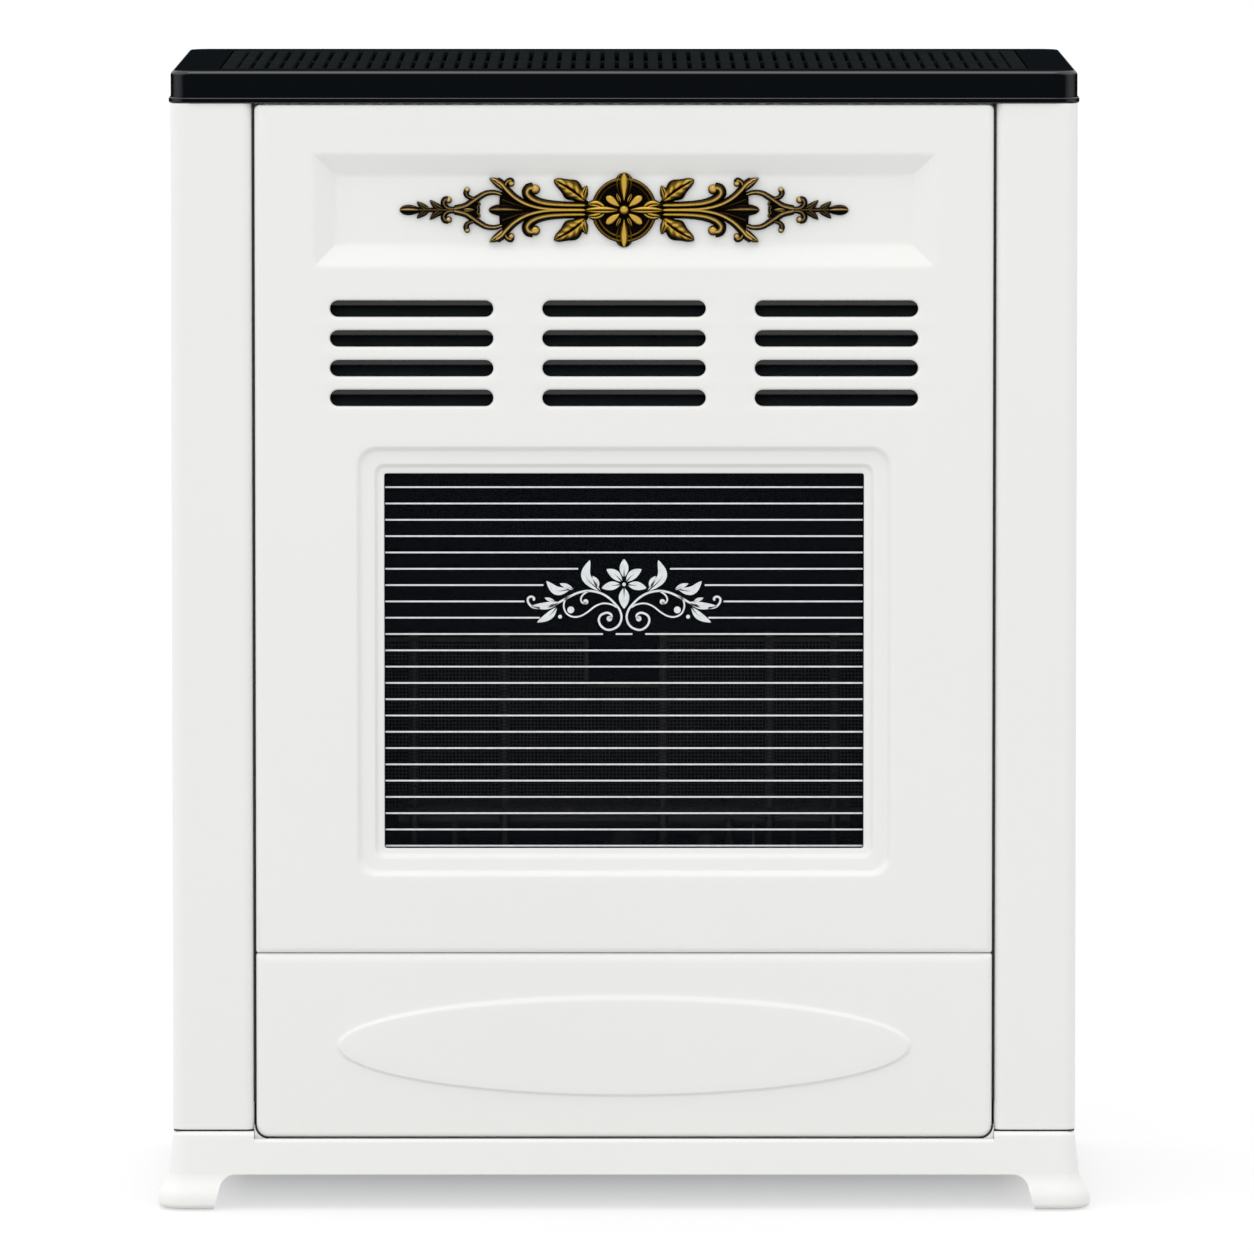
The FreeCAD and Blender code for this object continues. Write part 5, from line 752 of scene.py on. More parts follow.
def leaf(root, way, tip, half_width, notches, height, shine,
         form=LEAF_FORM, gloss=LEAF_SHINE, belly=0.9, taper=0.7):
    """Leaf along a bent rib, widest at its belly and more pointed with more taper, drawn in at each notch.

    Its width is a sine over its length, with the belly as a power of the way along and the taper as a power
    of the sine, less a wave for the notches. Its height is one half, plus one half of the root of a sine.
    Slanting waves darken a notched leaf along its veins.
    """
    line = curve((root, way, tip), LEAF_SECTIONS)
    u = np.linspace(0, 1, len(line))
    wide = np.sin(np.pi * u ** belly) ** taper
    wide *= 1 - NOTCH_DEPTH * (0.5 - 0.5 * np.cos(2 * np.pi * notches * u))
    tall = height * (0.5 + 0.5 * np.sin(np.pi * u) ** 0.5)
    vein = 0.5 + 0.5 * np.cos(2 * np.pi * (LEAF_VEINS * u[:, None] - VEIN_SLANT * ACROSS))
    shade = 1 - VEIN_DARK * np.sign(notches) * vein
    return band(line, half_width * wide, tall, form, shine * gloss * shade)


def petal(*form):
    """Blunt leaf with a smooth crest and a fine raised rim."""
    return leaf(*form, PETAL_FORM, PETAL_SHINE, 1.5, 0.5)


def bud(*form):
    """Blunt leaf, round across and without a rim."""
    return leaf(*form, BUD_FORM, BUD_SHINE, 1.7, 0.5)


def scroll(points, half_width, height, shine):
    """Round line of the scroll on a dark foot, thin at its start and blunt at its end.

    Its width grows evenly along it up to its full value, and goes as a root at its two ends.
    """
    line = curve(points, SCROLL_SECTIONS * len(points))
    u = np.linspace(0, 1, len(line))
    wide = half_width * np.minimum(1, 0.6 + 0.6 * u) * np.sqrt(np.clip(np.minimum(u, 1 - u) / 0.03, 0, 1))
    return band(line, wide, np.full(len(line), height), ROUND_FORM, shine * ROUND_SHINE)


def web(places, half_width, height):
    """Dark plate between the scrolls, with its half width read between places along the middle line."""
    x = np.linspace(places[0], places[-1], WEB_SECTIONS)
    wide = np.interp(x, places, half_width)
    line = stacked(x, np.zeros_like(x))
    return band(line, wide, np.full(len(x), height), DARK_FORM, DARK_SHINE)


def turned(place, radius, up, shine):
    """Round form: circles of the given radii and heights round one place."""
    round_line = circle(np.linspace(0, 2 * np.pi, ROUND_POINTS + 1)[:-1])
    radius, up, shine = (np.asarray(row)[:, None] for row in (radius, up, shine))
    even = np.ones(len(round_line))
    return raised(np.array(place) + radius[..., None] * round_line, up * even, shine * even)


def ball(place, radius, height):
    """Dome that rises from its rim as a quarter circle and is closed by a flat back."""
    turn = quarter(BALL_POINTS)
    out = chain(radius * np.sin(turn), radius, 0.0)
    up = chain(height - radius + radius * np.cos(turn), 0.0, 0.0)
    return turned(place, out, np.maximum(up, 0.0), chain(np.cos(turn) ** 0.7, 0.0, 0.0))


def reflected(forms, across, upward):
    """The same forms, mirrored about the ornament's middle by a sign across and a sign upward."""
    centre = np.array([0.0, 0.0, ORNAMENT_Z])
    mirror = np.array([across, 1.0, upward])
    return [((centre + (points - centre) * mirror, faces), shine) for (points, faces), shine in forms]


def made(make, rows):
    """Forms of one kind, one from each row of values."""
    return [make(*row) for row in rows]


def ornament():
    """Cast scroll: a ringed disc with a flower, then leaves, scrolls and webs mirrored into four quarters."""
    quarter_forms = made(leaf, QUARTER_LEAVES) + made(bud, QUARTER_BUDS)
    quarter_forms += made(scroll, QUARTER_SCROLLS) + made(ball, QUARTER_BALLS)
    side_forms = made(leaf, SIDE_LEAVES) + made(petal, SIDE_PETALS)
    side_forms += made(web, SIDE_WEBS) + made(scroll, SIDE_STEMS)
    forms = [turned((0.0, 0.0), *zip(*DISC_STEPS)), ball(*BEAD)]
    for upward in (1, -1):
        forms += reflected([petal(*UPRIGHT_PETAL)], 1, upward)
        for across in (1, -1):
            forms += reflected(quarter_forms, across, upward)
    for across in (1, -1):
        forms += reflected(side_forms, across, 1)
    patches, shine = zip(*forms)
    piece("gold_scroll", joined(patches), "antique_gold", replaced=["ornament"], smooth_angle=50.0,
          attributes={"relief": np.concatenate(shine)}, closed=True)


# Top grille

GRILLE_FRAME = 9.0
GRILLE_BAR = 6.6
GRILLE_PITCH = 9.0
GRILLE_ROUND = 1.2
GRILLE_CROSS_BAR = 8.0
GRILLE_CROSS_DROP = 1.0
GRILLE_CORNER = 7.2
GRILLE_INNER_CORNER = 0.6
GRILLE_BAR_LAP = 1.5


def bar(width, along, low, high):
    """Bar along Y: a section with a quarter circle at each upper edge, carried between two closed ends."""
    turn = quarter(SMALL_POINTS)
    edge = width / 2
    middle, shoulder = edge - GRILLE_ROUND, high - GRILLE_ROUND
    round_x, round_z = GRILLE_ROUND * np.cos(turn), GRILLE_ROUND * np.sin(turn)
    x = chain(edge, middle + round_x, -middle - round_z, -edge)
    z = chain(low, shoulder + round_z, shoulder + round_x, low)
    return capped([stacked(x, y, z) for y in along])


def top_grille():
    """Frame with rounded edges, bars from front to back inside it, and one lower cross bar under them.

    The frame's section runs in from its outside with a quarter circle at each upper edge. The bars stand at
    one pitch about the middle.
    """
    box = stacked(GRILLE_LOW[:2], GRILLE_HIGH[:2])
    low, high = GRILLE_LOW[2], GRILLE_HIGH[2]
    flank, top = round_over(GRILLE_ROUND, RIM_POINTS)
    inset = chain(0.0, flank, GRILLE_FRAME - top, GRILLE_FRAME, 0.0)
    height = chain(low, high - top, high - flank, low, low)
    ends = np.array([0.0, 1.0])
    loops = [frame_loop(grown(box, -d), max(GRILLE_CORNER - d, GRILLE_INNER_CORNER), level, (ends, ends))
             for d, level in zip(inset, height)]

    # The upright loops are laid flat: what went up goes back, and what was their depth is their height
    patches = [skin(np.array(loops)[..., [0, 2, 1]])]
    across, along = grown(box, GRILLE_BAR_LAP - GRILLE_FRAME)
    count = int((across[1] - across[0]) / GRILLE_PITCH)
    points, faces = bar(GRILLE_BAR, along, low, high)
    for at in (np.arange(count) - (count - 1) / 2) * GRILLE_PITCH:
        patches.append((points + (at, 0.0, 0.0), faces))
    points, faces = bar(GRILLE_CROSS_BAR, across, low, high - GRILLE_CROSS_DROP)
    patches.append((stacked(points[:, 1], box[1].mean() - points[:, 0], points[:, 2]), faces))
    piece("grille_bars", joined(patches), "satin_black", replaced=["top_grille"], closed=True)


# Print on the glass, in places counted from the middle of its flower

PRINT_PLANE = GLASS_LOW[1] - 0.12
FLOWER_Z = GLASS_HIGH[2] - 74.5
STRIPES = 23
STRIPE_TOP = GLASS_HIGH[2] - 14.7
STRIPE_PITCH = 10.04
STRIPE_HEIGHT = 1.0
STRIPE_HALF_LENGTH = GLASS_HIGH[0] - 6.5
STRIPE_POINTS = 9

# Places along a leaf, for each point of a line and across a ribbon, and rings and sides of a dot
PRINT_LEAF_POINTS = 25
PRINT_LINE_POINTS = 8
RIBBON_POINTS = 4
DOT_RINGS = 2
DOT_SIDES = 24

# Bare slit in a leaf, as shares of the leaf's width and length
SLIT_WIDTH = 0.16
SLIT_LENGTH = 0.55

# Half the break in a stripe that makes room for the flowers, by its number from the top
STRIPE_BREAKS = {5: 28.2, 6: 49.5, 7: 61.1, 8: 51.7, 9: 13.0}
DASH_STRIPE = 9
DASH_HALF_LENGTH = 5.1

# Leaves of the right half: root, a point on the way, tip, half width
PRINT_LEAVES = (
    ((1.4, 1.8), (5.6, 6.1), (10.7, 9.3), 2.7),
    ((2.3, -0.2), (7.9, -0.9), (13.7, -2.3), 2.6),
    ((14.6, -4.3), (23.3, 4.8), (21, 15), 2.9),
    ((16.1, -2.5), (17, 1.6), (19.3, 5.1), 1.6),
    ((33.4, -3.2), (41.5, -3.8), (47.7, 2), 2.6),
    ((31.2, -3.2), (35.2, -1.1), (39.5, 0.5), 1.4),
    ((39.9, -11), (47.8, -13.2), (57, -13.4), 2.2),
    ((42.6, -10.5), (45.7, -9.4), (48.7, -8.3), 1.1),
    ((41.4, -14.3), (46, -19.4), (53.4, -23.4), 2.3),
)
UPRIGHT_PRINT_LEAVES = (
    ((0, 4.5), (0, 10.2), (0, 15.6), 2.7),
    ((0, -2.2), (0, -8.3), (0, -15), 3.2),
)

# Lines of the right half: points, half width
PRINT_LINES = (
    (((9, -20.9), (7.6, -19.7), (8.5, -18.1), (11, -17.5), (14.3, -19), (15.5, -22), (14.1, -25.6),
      (10.5, -27.9), (6.5, -27.4), (3.1, -24.9), (1.6, -20.6), (2.5, -16.2), (5.2, -12.3), (9.9, -7.9),
      (15.3, -5.1), (21.7, -4), (28, -5.1), (34.3, -8), (41.1, -11.7), (46.9, -14.4)), 0.65),
    (((4.2, -14.4), (7.4, -12.5), (12.6, -11.7), (17.6, -13.4), (22.6, -17.2), (27.1, -19.6), (31.6, -19.9),
      (35.4, -17.7), (37, -13.5), (36.1, -9.4), (33.2, -6.7)), 0.5),
    (((22, -4.2), (25.1, -6.3), (26.5, -9), (25.5, -11.4), (23.1, -11.4)), 0.5),
    (((51.5, -14.6), (56, -14), (58.6, -11.5), (59, -8.8), (57.1, -7.5), (55.2, -8.5), (55.6, -10)), 0.65),
)

# Dots of the right half: place, radius
PRINT_DOTS = (((9, -21.1), 1.7), ((23.5, -10.7), 1.6), ((32.7, -15.7), 2.1), ((39.3, -19.9), 1.2))
FLOWER_DOT = ((0, 0), 1.1)


def printed(flat):
    """Flat ink in the print's plane, from rows of places in it."""
    return net(stacked(flat[..., 0], PRINT_PLANE, FLOWER_Z + flat[..., 1]))


def ribbon(line, low, high):
    """Flat ink along a line, between two distances to the left of it."""
    share = np.linspace(1, 0, RIBBON_POINTS)
    return printed(beside(line, low[:, None] + (high - low)[:, None] * share))


def printed_leaf(side, root, way, tip, half_width):
    """Pointed leaf in two halves along its rib, with a bare slit between them up to its middle.

    Its width is a power of a sine along it, and the slit narrows evenly to nought.
    """
    line = curve((root, way, tip), PRINT_LEAF_POINTS) * (side, 1.0)
    u = np.linspace(0, 1, len(line))
    wide = half_width * np.sin(np.pi * u ** 0.95) ** 0.8
    slit = SLIT_WIDTH * half_width * np.clip(1 - u / SLIT_LENGTH, 0, 1)
    wide = np.maximum(wide, slit)
    return [ribbon(line, slit, wide), ribbon(line, -wide, -slit)]


def printed_line(side, points, half_width):
    """Line of even width that narrows evenly towards a point at both its ends."""
    line = curve(points, PRINT_LINE_POINTS * len(points)) * (side, 1.0)
    u = np.linspace(0, 1, len(line))
    wide = half_width * np.clip(np.minimum(u, 1 - u) / 0.02, 0.15, 1)
    return [ribbon(line, -wide, wide)]


def printed_dot(side, place, radius):
    """Round dot, from circles that shrink to a point."""
    size = np.linspace(0, radius, DOT_RINGS + 1)[:, None, None]
    round_line = circle(np.linspace(0, -2 * np.pi, DOT_SIDES + 1))
    return [printed(np.array(place) * (side, 1.0) + size * round_line)]


def stripe(number, left, right):
    """Straight stripe of ink, by its number from the top and its two ends."""
    middle = STRIPE_TOP - STRIPE_PITCH * number - FLOWER_Z
    line = stacked(np.linspace(left, right, STRIPE_POINTS), np.full(STRIPE_POINTS, middle))
    half = np.full(STRIPE_POINTS, STRIPE_HEIGHT / 2)
    return ribbon(line, -half, half)


def glass_print():
    """Fired print: stripes that make way for a flower with scrolls, mirrored about the middle."""
    patches = []
    for number in range(STRIPES):
        gap = STRIPE_BREAKS.get(number, 0.0)
        patches.append(stripe(number, -STRIPE_HALF_LENGTH, -gap))
        patches.append(stripe(number, gap, STRIPE_HALF_LENGTH))
    patches.append(stripe(DASH_STRIPE, -DASH_HALF_LENGTH, DASH_HALF_LENGTH))
    for form in UPRIGHT_PRINT_LEAVES:
        patches += printed_leaf(1.0, *form)
    patches += printed_dot(1.0, *FLOWER_DOT)
    drawn = ((printed_leaf, PRINT_LEAVES), (printed_line, PRINT_LINES), (printed_dot, PRINT_DOTS))
    for draw, forms in drawn:
        for form in forms:
            for side in (1.0, -1.0):
                patches += draw(side, *form)
    piece("glass_print", joined(patches), "white_print")


# Screen behind the glass

SCREEN_PITCH = 2.2
SCREEN_WIRE = 0.5
SCREEN_NOTCH_HALF_WIDTH = 23.0
SCREEN_NOTCH_DEPTH = 30.0
SCREEN_RIM = 2.0


def wires(start, end, size):
    """Square wires between two rows of points, each with four corners round both its closed ends."""
    heading = (end - start) / np.linalg.norm(end - start, axis=1, keepdims=True)
    depth = np.array([0.0, 1.0, 0.0])
    side = np.cross(heading, depth)
    corner = np.array([(-1, -1), (1, -1), (1, 1), (-1, 1)]) * size / 2
    offset = side[:, None, :] * corner[:, :1] + depth * corner[:, 1:]
    points = np.concatenate([start[:, None, :] + offset, end[:, None, :] + offset], axis=1)
    quads = np.array([(0, 1, 5, 4), (1, 2, 6, 5), (2, 3, 7, 6), (3, 0, 4, 7), (3, 2, 1, 0), (4, 5, 6, 7)])
    faces = np.arange(len(points))[:, None, None] * 8 + quads
    return points.reshape(-1, 3), faces.reshape(-1, 4)


def fire_screen():
    """Fine net of upright and level wires at one pitch in a rim, with a notch in the middle of its top."""
    (left, right), (low, high) = face_of(SCREEN_LOW, SCREEN_HIGH)
    notch = high - SCREEN_NOTCH_DEPTH
    y = (SCREEN_LOW[1] + SCREEN_HIGH[1]) / 2
    behind = y + SCREEN_WIRE
    half = SCREEN_NOTCH_HALF_WIDTH
    upright = np.arange(left + SCREEN_PITCH, right, SCREEN_PITCH)
    top = np.where(np.abs(upright) < half, notch, high)
    patches = [wires(stacked(upright, y, low), stacked(upright, y, top), SCREEN_WIRE)]
    level = np.arange(low + SCREEN_PITCH, high, SCREEN_PITCH)
    under, over = level[level < notch], level[level >= notch]
    for start, end, rows in ((left, right, under), (left, -half, over), (half, right, over)):
        patches.append(wires(stacked(start, behind, rows), stacked(end, behind, rows), SCREEN_WIRE))
    (left, right), (low, high) = grown(((left, right), (low, high)), -SCREEN_RIM / 2)
    outline_x = (left, right, right, half, half, -half, -half, left)
    outline_z = (low, low, high, high, notch, notch, high, high)
    rim = stacked(outline_x, y, outline_z)
    patches.append(wires(rim, np.roll(rim, -1, axis=0), SCREEN_RIM))
    piece("fire_screen", joined(patches), "screen_wire", replaced=["radiant_screen"], closed=True)


# Finishes


def feed(tree, value, socket):
    """Gives a socket a link or a plain value."""
    if isinstance(value, bpy.types.NodeSocket):
        tree.links.new(value, socket)
    else:
        socket.default_value = value


def fed(tree, kind, feeds, **settings):
    """Outputs of a new node of a kind, with its inputs fed and its settings made."""
    made = tree.nodes.new("ShaderNode" + kind)
    for label, value in settings.items():
        setattr(made, label, value)
    for label, value in feeds.items():
        feed(tree, value, made.inputs[label])
    return made.outputs


def calculated(tree, operation, *values, **settings):
    """Result of one sum on values, each linked or plain."""
    return fed(tree, "Math", dict(enumerate(values)), operation=operation, **settings)["Value"]


def ramp(tree, value, start, end, low, high):
    """A value that runs from low to high between a start and an end, and stays there beyond them."""
    limits = {"From Min": start, "From Max": end, "To Min": low, "To Max": high}
    return fed(tree, "MapRange", {"Value": value, **limits})["Result"]


def axes(tree, kind, label):
    """The three parts of a vector that a node of a kind gives."""
    return fed(tree, "SeparateXYZ", {"Vector": fed(tree, kind, {})[label]})


def object_coordinates(tree, stretch=(1.0, 1.0, 1.0)):
    """Object coordinates, stretched by a factor on each axis."""
    place = fed(tree, "TexCoord", {})["Object"]
    return fed(tree, "Mapping", {"Vector": place, "Scale": stretch})["Vector"]


def noise(tree, scale, detail=2.0, stretch=(1.0, 1.0, 1.0)):
    """Cloudy pattern with a number of waves to the metre."""
    place = object_coordinates(tree, stretch)
    return fed(tree, "TexNoise", {"Vector": place, "Scale": scale, "Detail": detail})["Fac"]


def finish(tree, label, value):
    """Feeds one of the finish's own sockets."""
    feed(tree, value, tree.nodes["Principled BSDF"].inputs[label])


def new_finish(name, colour, roughness, metallic=0.0, specular=0.5, coat_roughness=0.1, alpha=1.0):
    """Principled finish with its even values on the shader's own sockets, and its tree."""
    material = bpy.data.materials.new(name)
    material.use_nodes = True
    tree = material.node_tree
    even = {"Base Color": (*colour, 1.0), "Roughness": roughness, "Metallic": metallic, "Alpha": alpha,
            "Specular IOR Level": specular, "Coat Roughness": coat_roughness}
    for label, value in even.items():
        finish(tree, label, value)
    return material, tree


def colours(tree, value, stops):
    """Colour read from a pattern through a row of stops, each a place and a colour."""
    outputs = fed(tree, "ValToRGB", {"Fac": value})
    elements = outputs[0].node.color_ramp.elements
    while len(elements) < len(stops):
        elements.new(0.5)
    for element, (at, colour) in zip(elements, stops):
        element.position = at
        element.color = (*colour, 1.0)
    return outputs["Color"]


def tones(tree, value, colour, change):
    """Slight change of tone round a colour, over the middle of a pattern."""
    colour = np.array(colour)
    stops = ((0.3, tuple(colour * (1 - change))), (0.7, tuple(np.minimum(colour * (1 + change), 1.0))))
    finish(tree, "Base Color", colours(tree, value, stops))


def spread(tree, value, label, low, high, start=0.3, end=0.7):
    """A socket that runs from a low to a high value over the middle of a pattern."""
    finish(tree, label, ramp(tree, value, start, end, low, high))


def grain(tree, value, height):
    """Bump from a pattern, with a height in millimetres."""
    finish(tree, "Normal", fed(tree, "Bump", {"Height": value, "Distance": height * MM})["Normal"])


def white_enamel():
    """Stoved white paint: slight changes of tone and shine, and fine orange peel."""
    colour = (0.88, 0.88, 0.86)
    material, tree = new_finish("white_enamel", colour, 0.32, specular=0.4)
    tones(tree, noise(tree, 4.0), colour, 0.006)
    spread(tree, noise(tree, 25.0), "Roughness", 0.29, 0.35)
    grain(tree, noise(tree, 420.0, 1.0), 0.008)
    return material


def black_enamel():
    """Stoved black paint, dulled by dust on what faces up, with a painted sheen: a clear coat only where it
    bends from upright to level, so that highlights fall there.
    """
    colour = (0.005, 0.006, 0.008)
    material, tree = new_finish("black_enamel", colour, 0.16, specular=0.0, coat_roughness=0.06)
    finish(tree, "Coat IOR", 2.0)
    facing = axes(tree, "NewGeometry", "Normal")
    dust = calculated(tree, "MULTIPLY_ADD", noise(tree, 60.0, 4.0), 0.2, facing["Z"])
    stops = ((0.6, (0.004, 0.005, 0.0065)), (1.0, (0.005, 0.0062, 0.007)))
    finish(tree, "Base Color", colours(tree, dust, stops))
    spread(tree, dust, "Roughness", 0.12, 0.6, 0.75, 1.05)
    # Painted sheen: the clear coat is laid only on bends from upright to level and on the rounds of the
    # upright corners, so that the lamps draw highlight lines only there
    level = calculated(tree, "MULTIPLY", facing["Z"], facing["Z"])
    bend = calculated(tree, "MULTIPLY", level, calculated(tree, "SUBTRACT", 1.0, level))
    sideways = calculated(tree, "MULTIPLY", facing["X"], facing["Y"])
    corner = calculated(tree, "MULTIPLY", sideways, sideways)
    spread(tree, calculated(tree, "MULTIPLY_ADD", corner, 0.5, bend), "Coat Weight", 0.0, 0.7, 0.08, 0.2)
    return material


def antique_gold():
    """Cast brass: dark patina low down and at the ends, polished gold on the crests, with painted shade on
    what faces down and painted light on what faces up.
    """
    material, tree = new_finish("antique_gold", (0.6, 0.36, 0.08), 0.35, metallic=1.0)
    sideways = calculated(tree, "ABSOLUTE", axes(tree, "TexCoord", "Object")["X"])
    ends = ramp(tree, sideways, 0.03, 0.11, 0.0, 1.0)
    upward = axes(tree, "NewGeometry", "Normal")["Z"]
    polish_and_shade = fed(tree, "Attribute", {}, attribute_name="relief")["Fac"]
    # Painted shade and light: the upward part of the normal lightens what faces up and darkens what faces
    # down, as light from above falls; the noise is uneven tone and the ends are patina
    for source, share in ((upward, 0.42), (noise(tree, 600.0, 3.0), 0.2), (ends, -0.1)):
        polish_and_shade = calculated(tree, "MULTIPLY_ADD", source, share, polish_and_shade)
    stops = ((0.22, (0.004, 0.003, 0.0025)), (0.52, (0.045, 0.028, 0.0055)), (0.82, (0.225, 0.128, 0.0125)),
             (1.0, (0.6, 0.375, 0.062)))
    saturation = calculated(tree, "MULTIPLY_ADD", ends, -0.2, 1.0)
    faded = fed(tree, "HueSaturation", {"Color": colours(tree, polish_and_shade, stops), "Saturation": saturation})
    finish(tree, "Base Color", faded["Color"])
    spread(tree, polish_and_shade, "Roughness", 0.6, 0.3, 0.35, 1.0)
    grain(tree, noise(tree, 900.0), 0.02)
    return material


def window_glass():
    """Dark heat-proof glass with faint smears."""
    material, tree = new_finish("window_glass", (0.003, 0.004, 0.006), 0.04, specular=0.035, alpha=0.57)
    spread(tree, noise(tree, 12.0, 5.0), "Roughness", 0.02, 0.08)
    return material


def white_print():
    """Fired white ink, a little thin in places."""
    colour = (0.76, 0.79, 0.8)
    material, tree = new_finish("white_print", colour, 0.45, specular=0.3)
    tones(tree, noise(tree, 250.0, 3.0), colour, 0.1)
    grain(tree, noise(tree, 800.0), 0.02)
    return material


def galvanised_steel():
    """Zinc-coated sheet with spangle."""
    material, tree = new_finish("galvanised_steel", (0.5, 0.52, 0.54), 0.4, metallic=0.9)
    crystals = fed(tree, "TexVoronoi", {"Vector": object_coordinates(tree), "Scale": 130.0})
    pattern = fed(tree, "SeparateColor", {"Color": crystals["Color"]})["Red"]
    stops = ((0.0, (0.43, 0.45, 0.47)), (1.0, (0.53, 0.55, 0.57)))
    finish(tree, "Base Color", colours(tree, pattern, stops))
    spread(tree, pattern, "Roughness", 0.36, 0.46, 0.0, 1.0)
    grain(tree, noise(tree, 200.0), 0.02)
    return material


def stainless_steel():
    """Steel brushed along its length."""
    material, tree = new_finish("stainless_steel", (0.5, 0.48, 0.46), 0.32, metallic=1.0)
    lines = noise(tree, 300.0, 3.0, (0.05, 1.0, 1.0))
    finish(tree, "Base Color", colours(tree, lines, ((0.3, (0.42, 0.4, 0.38)), (0.7, (0.55, 0.53, 0.51)))))
    spread(tree, lines, "Roughness", 0.25, 0.42)
    grain(tree, lines, 0.01)
    return material


def plain_metal(name, colour, roughness, scale, height):
    """Metal with a mottled tone, an uneven shine and a fine grain."""
    material, tree = new_finish(name, colour, roughness, metallic=1.0)
    tones(tree, noise(tree, scale / 4, 3.0), colour, 0.1)
    spread(tree, noise(tree, scale, 3.0), "Roughness", roughness * 0.8, roughness * 1.3)
    grain(tree, noise(tree, scale * 3), height)
    return material


def plain_coat(name, colour, roughness, scale, height, change=0.12, specular=0.5):
    """Paint, plastic, rubber or fibre with a mottled tone, an uneven shine and a fine grain."""
    material, tree = new_finish(name, colour, roughness, specular=specular)
    tones(tree, noise(tree, scale / 6, 3.0), colour, change)
    spread(tree, noise(tree, scale / 2), "Roughness", roughness * 0.85, min(roughness * 1.15, 1.0))
    grain(tree, noise(tree, scale), height)
    return material


# The frame's own materials make way for finishes of the same names
for material in list(bpy.data.materials):
    material.name = "plain_" + material.name

FINISHES = {material.name: material for material in (
    white_enamel(),
    black_enamel(),
    antique_gold(),
    window_glass(),
    white_print(),
    galvanised_steel(),
    stainless_steel(),
    plain_metal("zinc_fasteners", (0.6, 0.6, 0.56), 0.3, 500.0, 0.01),
    plain_metal("brass", (0.68, 0.45, 0.17), 0.3, 300.0, 0.01),
    plain_metal("cast_aluminium", (0.58, 0.58, 0.57), 0.5, 350.0, 0.06),
    plain_coat("heat_dark_steel", (0.022, 0.021, 0.02), 0.62, 400.0, 0.04, 0.3),
    plain_coat("fibre_gasket", (0.3, 0.29, 0.26), 0.95, 900.0, 0.15, 0.25),
    plain_coat("white_ceramic", (0.78, 0.75, 0.68), 0.25, 300.0, 0.01, 0.05),
    plain_coat("black_plastic", (0.016, 0.016, 0.017), 0.42, 1200.0, 0.03),
    plain_coat("red_plastic", (0.45, 0.018, 0.014), 0.3, 900.0, 0.01),
    plain_coat("lead_sleeve", (0.09, 0.07, 0.05), 0.55, 900.0, 0.03),
    plain_coat("rubber", (0.02, 0.02, 0.021), 0.8, 900.0, 0.05),
    plain_coat("satin_black", (0.011, 0.0135, 0.0145), 0.6, 300.0, 0.02, 0.15, 0.0),
    plain_coat("gloss_black", (0.008, 0.008, 0.009), 0.3, 300.0, 0.005, 0.1),
    plain_coat("screen_wire", (0.32, 0.28, 0.24), 0.6, 700.0, 0.02, 0.25),
)}

for node in frame["nodes"].values():
    for material_slot in node.material_slots:
        material_slot.material = FINISHES[material_slot.material.name.removeprefix("plain_")]
for material_slot in frame["nodes"]["vent_louvres"].material_slots:
    material_slot.material = FINISHES["satin_black"]


# Camera, floor and light, in metres

CAMERA_DISTANCE = 8.0
CAMERA_HEIGHT = 1.027
CAMERA_LENS = 376.0
CAMERA_SENSOR = 36.0
AIM_X = 0.0018
AIM_Z = 0.3591
OVERHEAD_FROM = (-0.3, -0.9, 3.0)
OVERHEAD_SPREAD = 40.0
OVERHEAD_LIGHT = 0.35
SKY_LIGHT = 1.12
SKY_LEAN = 0.16
FLOOR_HALF = 20.0
FLOOR_TONE = 0.93
FLOOR_BOUNCE = 0.58

# Share of the floor's shadow that shows in the open and under the base, and where the one passes into the
# other: out to each side, and from the front back
FLOOR_SHADOW = 0.3
UNDER_SHADOW = 0.75
SHADOW_SIDE = (0.235, 0.285)
SHADOW_FRONT = (-0.2, 0.0)


def aimed(obj, target):
    """Turns an object's -Z axis towards a point."""
    obj.rotation_euler = (Vector(target) - obj.location).to_track_quat("-Z", "Y").to_euler()


def camera():
    """Camera a long way in front of the heater, a little above it, that looks at its front."""
    data = bpy.data.cameras.new("camera")
    data.lens = CAMERA_LENS
    data.sensor_width = CAMERA_SENSOR
    obj = put("camera", data)
    obj.location = (AIM_X, FRONT * MM - CAMERA_DISTANCE, CAMERA_HEIGHT)
    aimed(obj, (AIM_X, FRONT * MM, AIM_Z))
    bpy.context.scene.camera = obj


def overhead():
    """Broad light from above, a little from the front and the left."""
    data = bpy.data.lights.new("overhead", "SUN")
    data.angle = np.radians(OVERHEAD_SPREAD)
    data.energy = OVERHEAD_LIGHT
    obj = put("overhead", data)
    obj.location = OVERHEAD_FROM
    aimed(obj, (0.0, 0.0, 0.0))


def seen(tree):
    """One for what the camera sees straight, in gloss or through glass, and nought for light that bounces."""
    path = fed(tree, "LightPath", {})
    total = path["Is Camera Ray"]
    for label in ("Is Glossy Ray", "Is Transmission Ray"):
        total = calculated(tree, "ADD", total, path[label], use_clamp=True)
    return total


def blended(tree, share, first, second):
    """Mix of two shaders by a share."""
    return fed(tree, "MixShader", {"Fac": share, 1: first, 2: second})["Shader"]


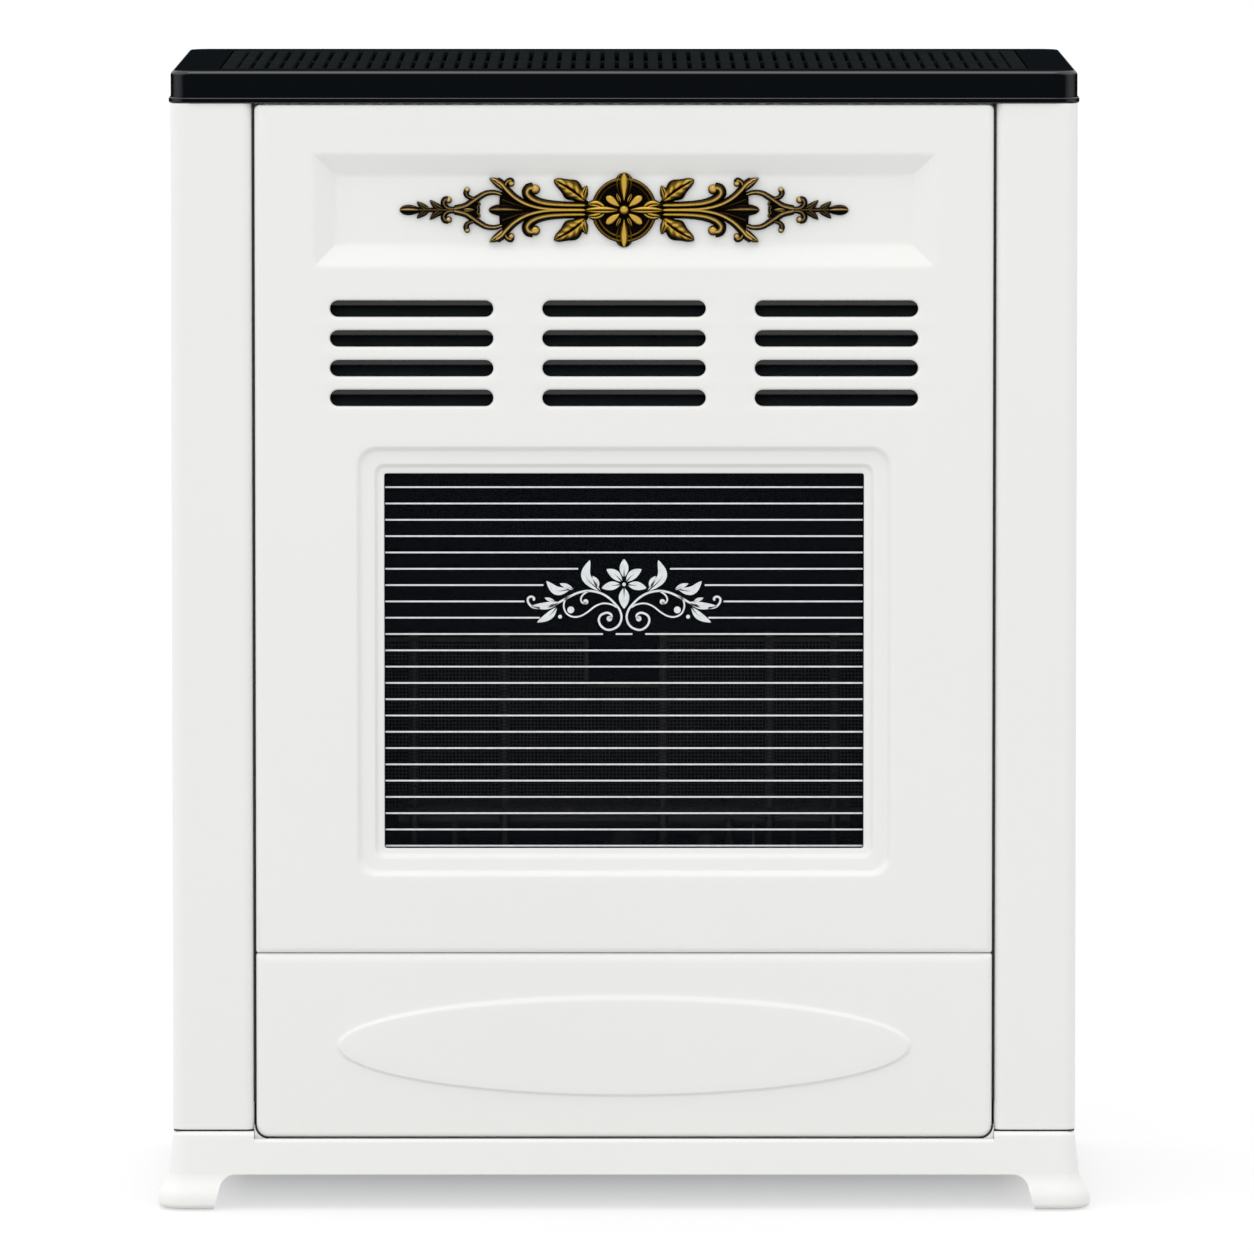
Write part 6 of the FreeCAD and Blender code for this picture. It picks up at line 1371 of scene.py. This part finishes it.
def matt(tree, tone):
    """Matt grey of one tone."""
    return fed(tree, "BsdfDiffuse", {"Color": (tone, tone, tone, 1.0)})["BSDF"]


def shaded(tree):
    """Share of the floor's own shadow that shows: little in the open, more under the base."""
    place = axes(tree, "TexCoord", "Object")
    sideways = calculated(tree, "ABSOLUTE", place["X"])
    inward = ramp(tree, sideways, *SHADOW_SIDE, 1.0, 0.0)
    under = calculated(tree, "MULTIPLY", ramp(tree, place["Y"], *SHADOW_FRONT, 0.0, 1.0), inward)
    return ramp(tree, under, 0.0, 1.0, FLOOR_SHADOW, UNDER_SHADOW)


def floor():
    """Large floor: seen as white with a light shadow, and pale grey for the light that it throws back."""
    mesh = bpy.data.meshes.new("floor")
    corners = [(x * FLOOR_HALF, y * FLOOR_HALF, 0.0) for x, y in ((-1, -1), (1, -1), (1, 1), (-1, 1))]
    mesh.from_pydata(corners, [], [(0, 1, 2, 3)])
    material = bpy.data.materials.new("floor_paint")
    material.use_nodes = True
    tree = material.node_tree
    glow = fed(tree, "Emission", {})["Emission"]
    white = blended(tree, shaded(tree), glow, matt(tree, FLOOR_TONE))
    shown = blended(tree, seen(tree), matt(tree, FLOOR_BOUNCE), white)
    feed(tree, shown, tree.nodes["Material Output"].inputs["Surface"])
    mesh.materials.append(material)
    put("floor", mesh)


def world():
    """Studio light that is a little stronger from the left, seen as white."""
    surroundings = bpy.data.worlds.new("studio")
    bpy.context.scene.world = surroundings
    surroundings.use_nodes = True
    tree = surroundings.node_tree
    rightward = axes(tree, "TexCoord", "Generated")["X"]
    light = calculated(tree, "MULTIPLY_ADD", rightward, -SKY_LIGHT * SKY_LEAN, SKY_LIGHT)
    sky = tree.nodes["Background"].inputs
    feed(tree, ramp(tree, seen(tree), 0.0, 1.0, light, 1.0), sky["Strength"])
    feed(tree, (1.0, 1.0, 1.0, 1.0), sky["Color"])


front_panel()
lower_door()
door_corners()
corner_groove_shade()
gap_shade_strips()
column_seam_shade()
louvre_lips()
ornament()
top_grille()
glass_print()
fire_screen()
camera()
floor()
world()
overhead()
bpy.context.scene.view_settings.view_transform = "Standard"
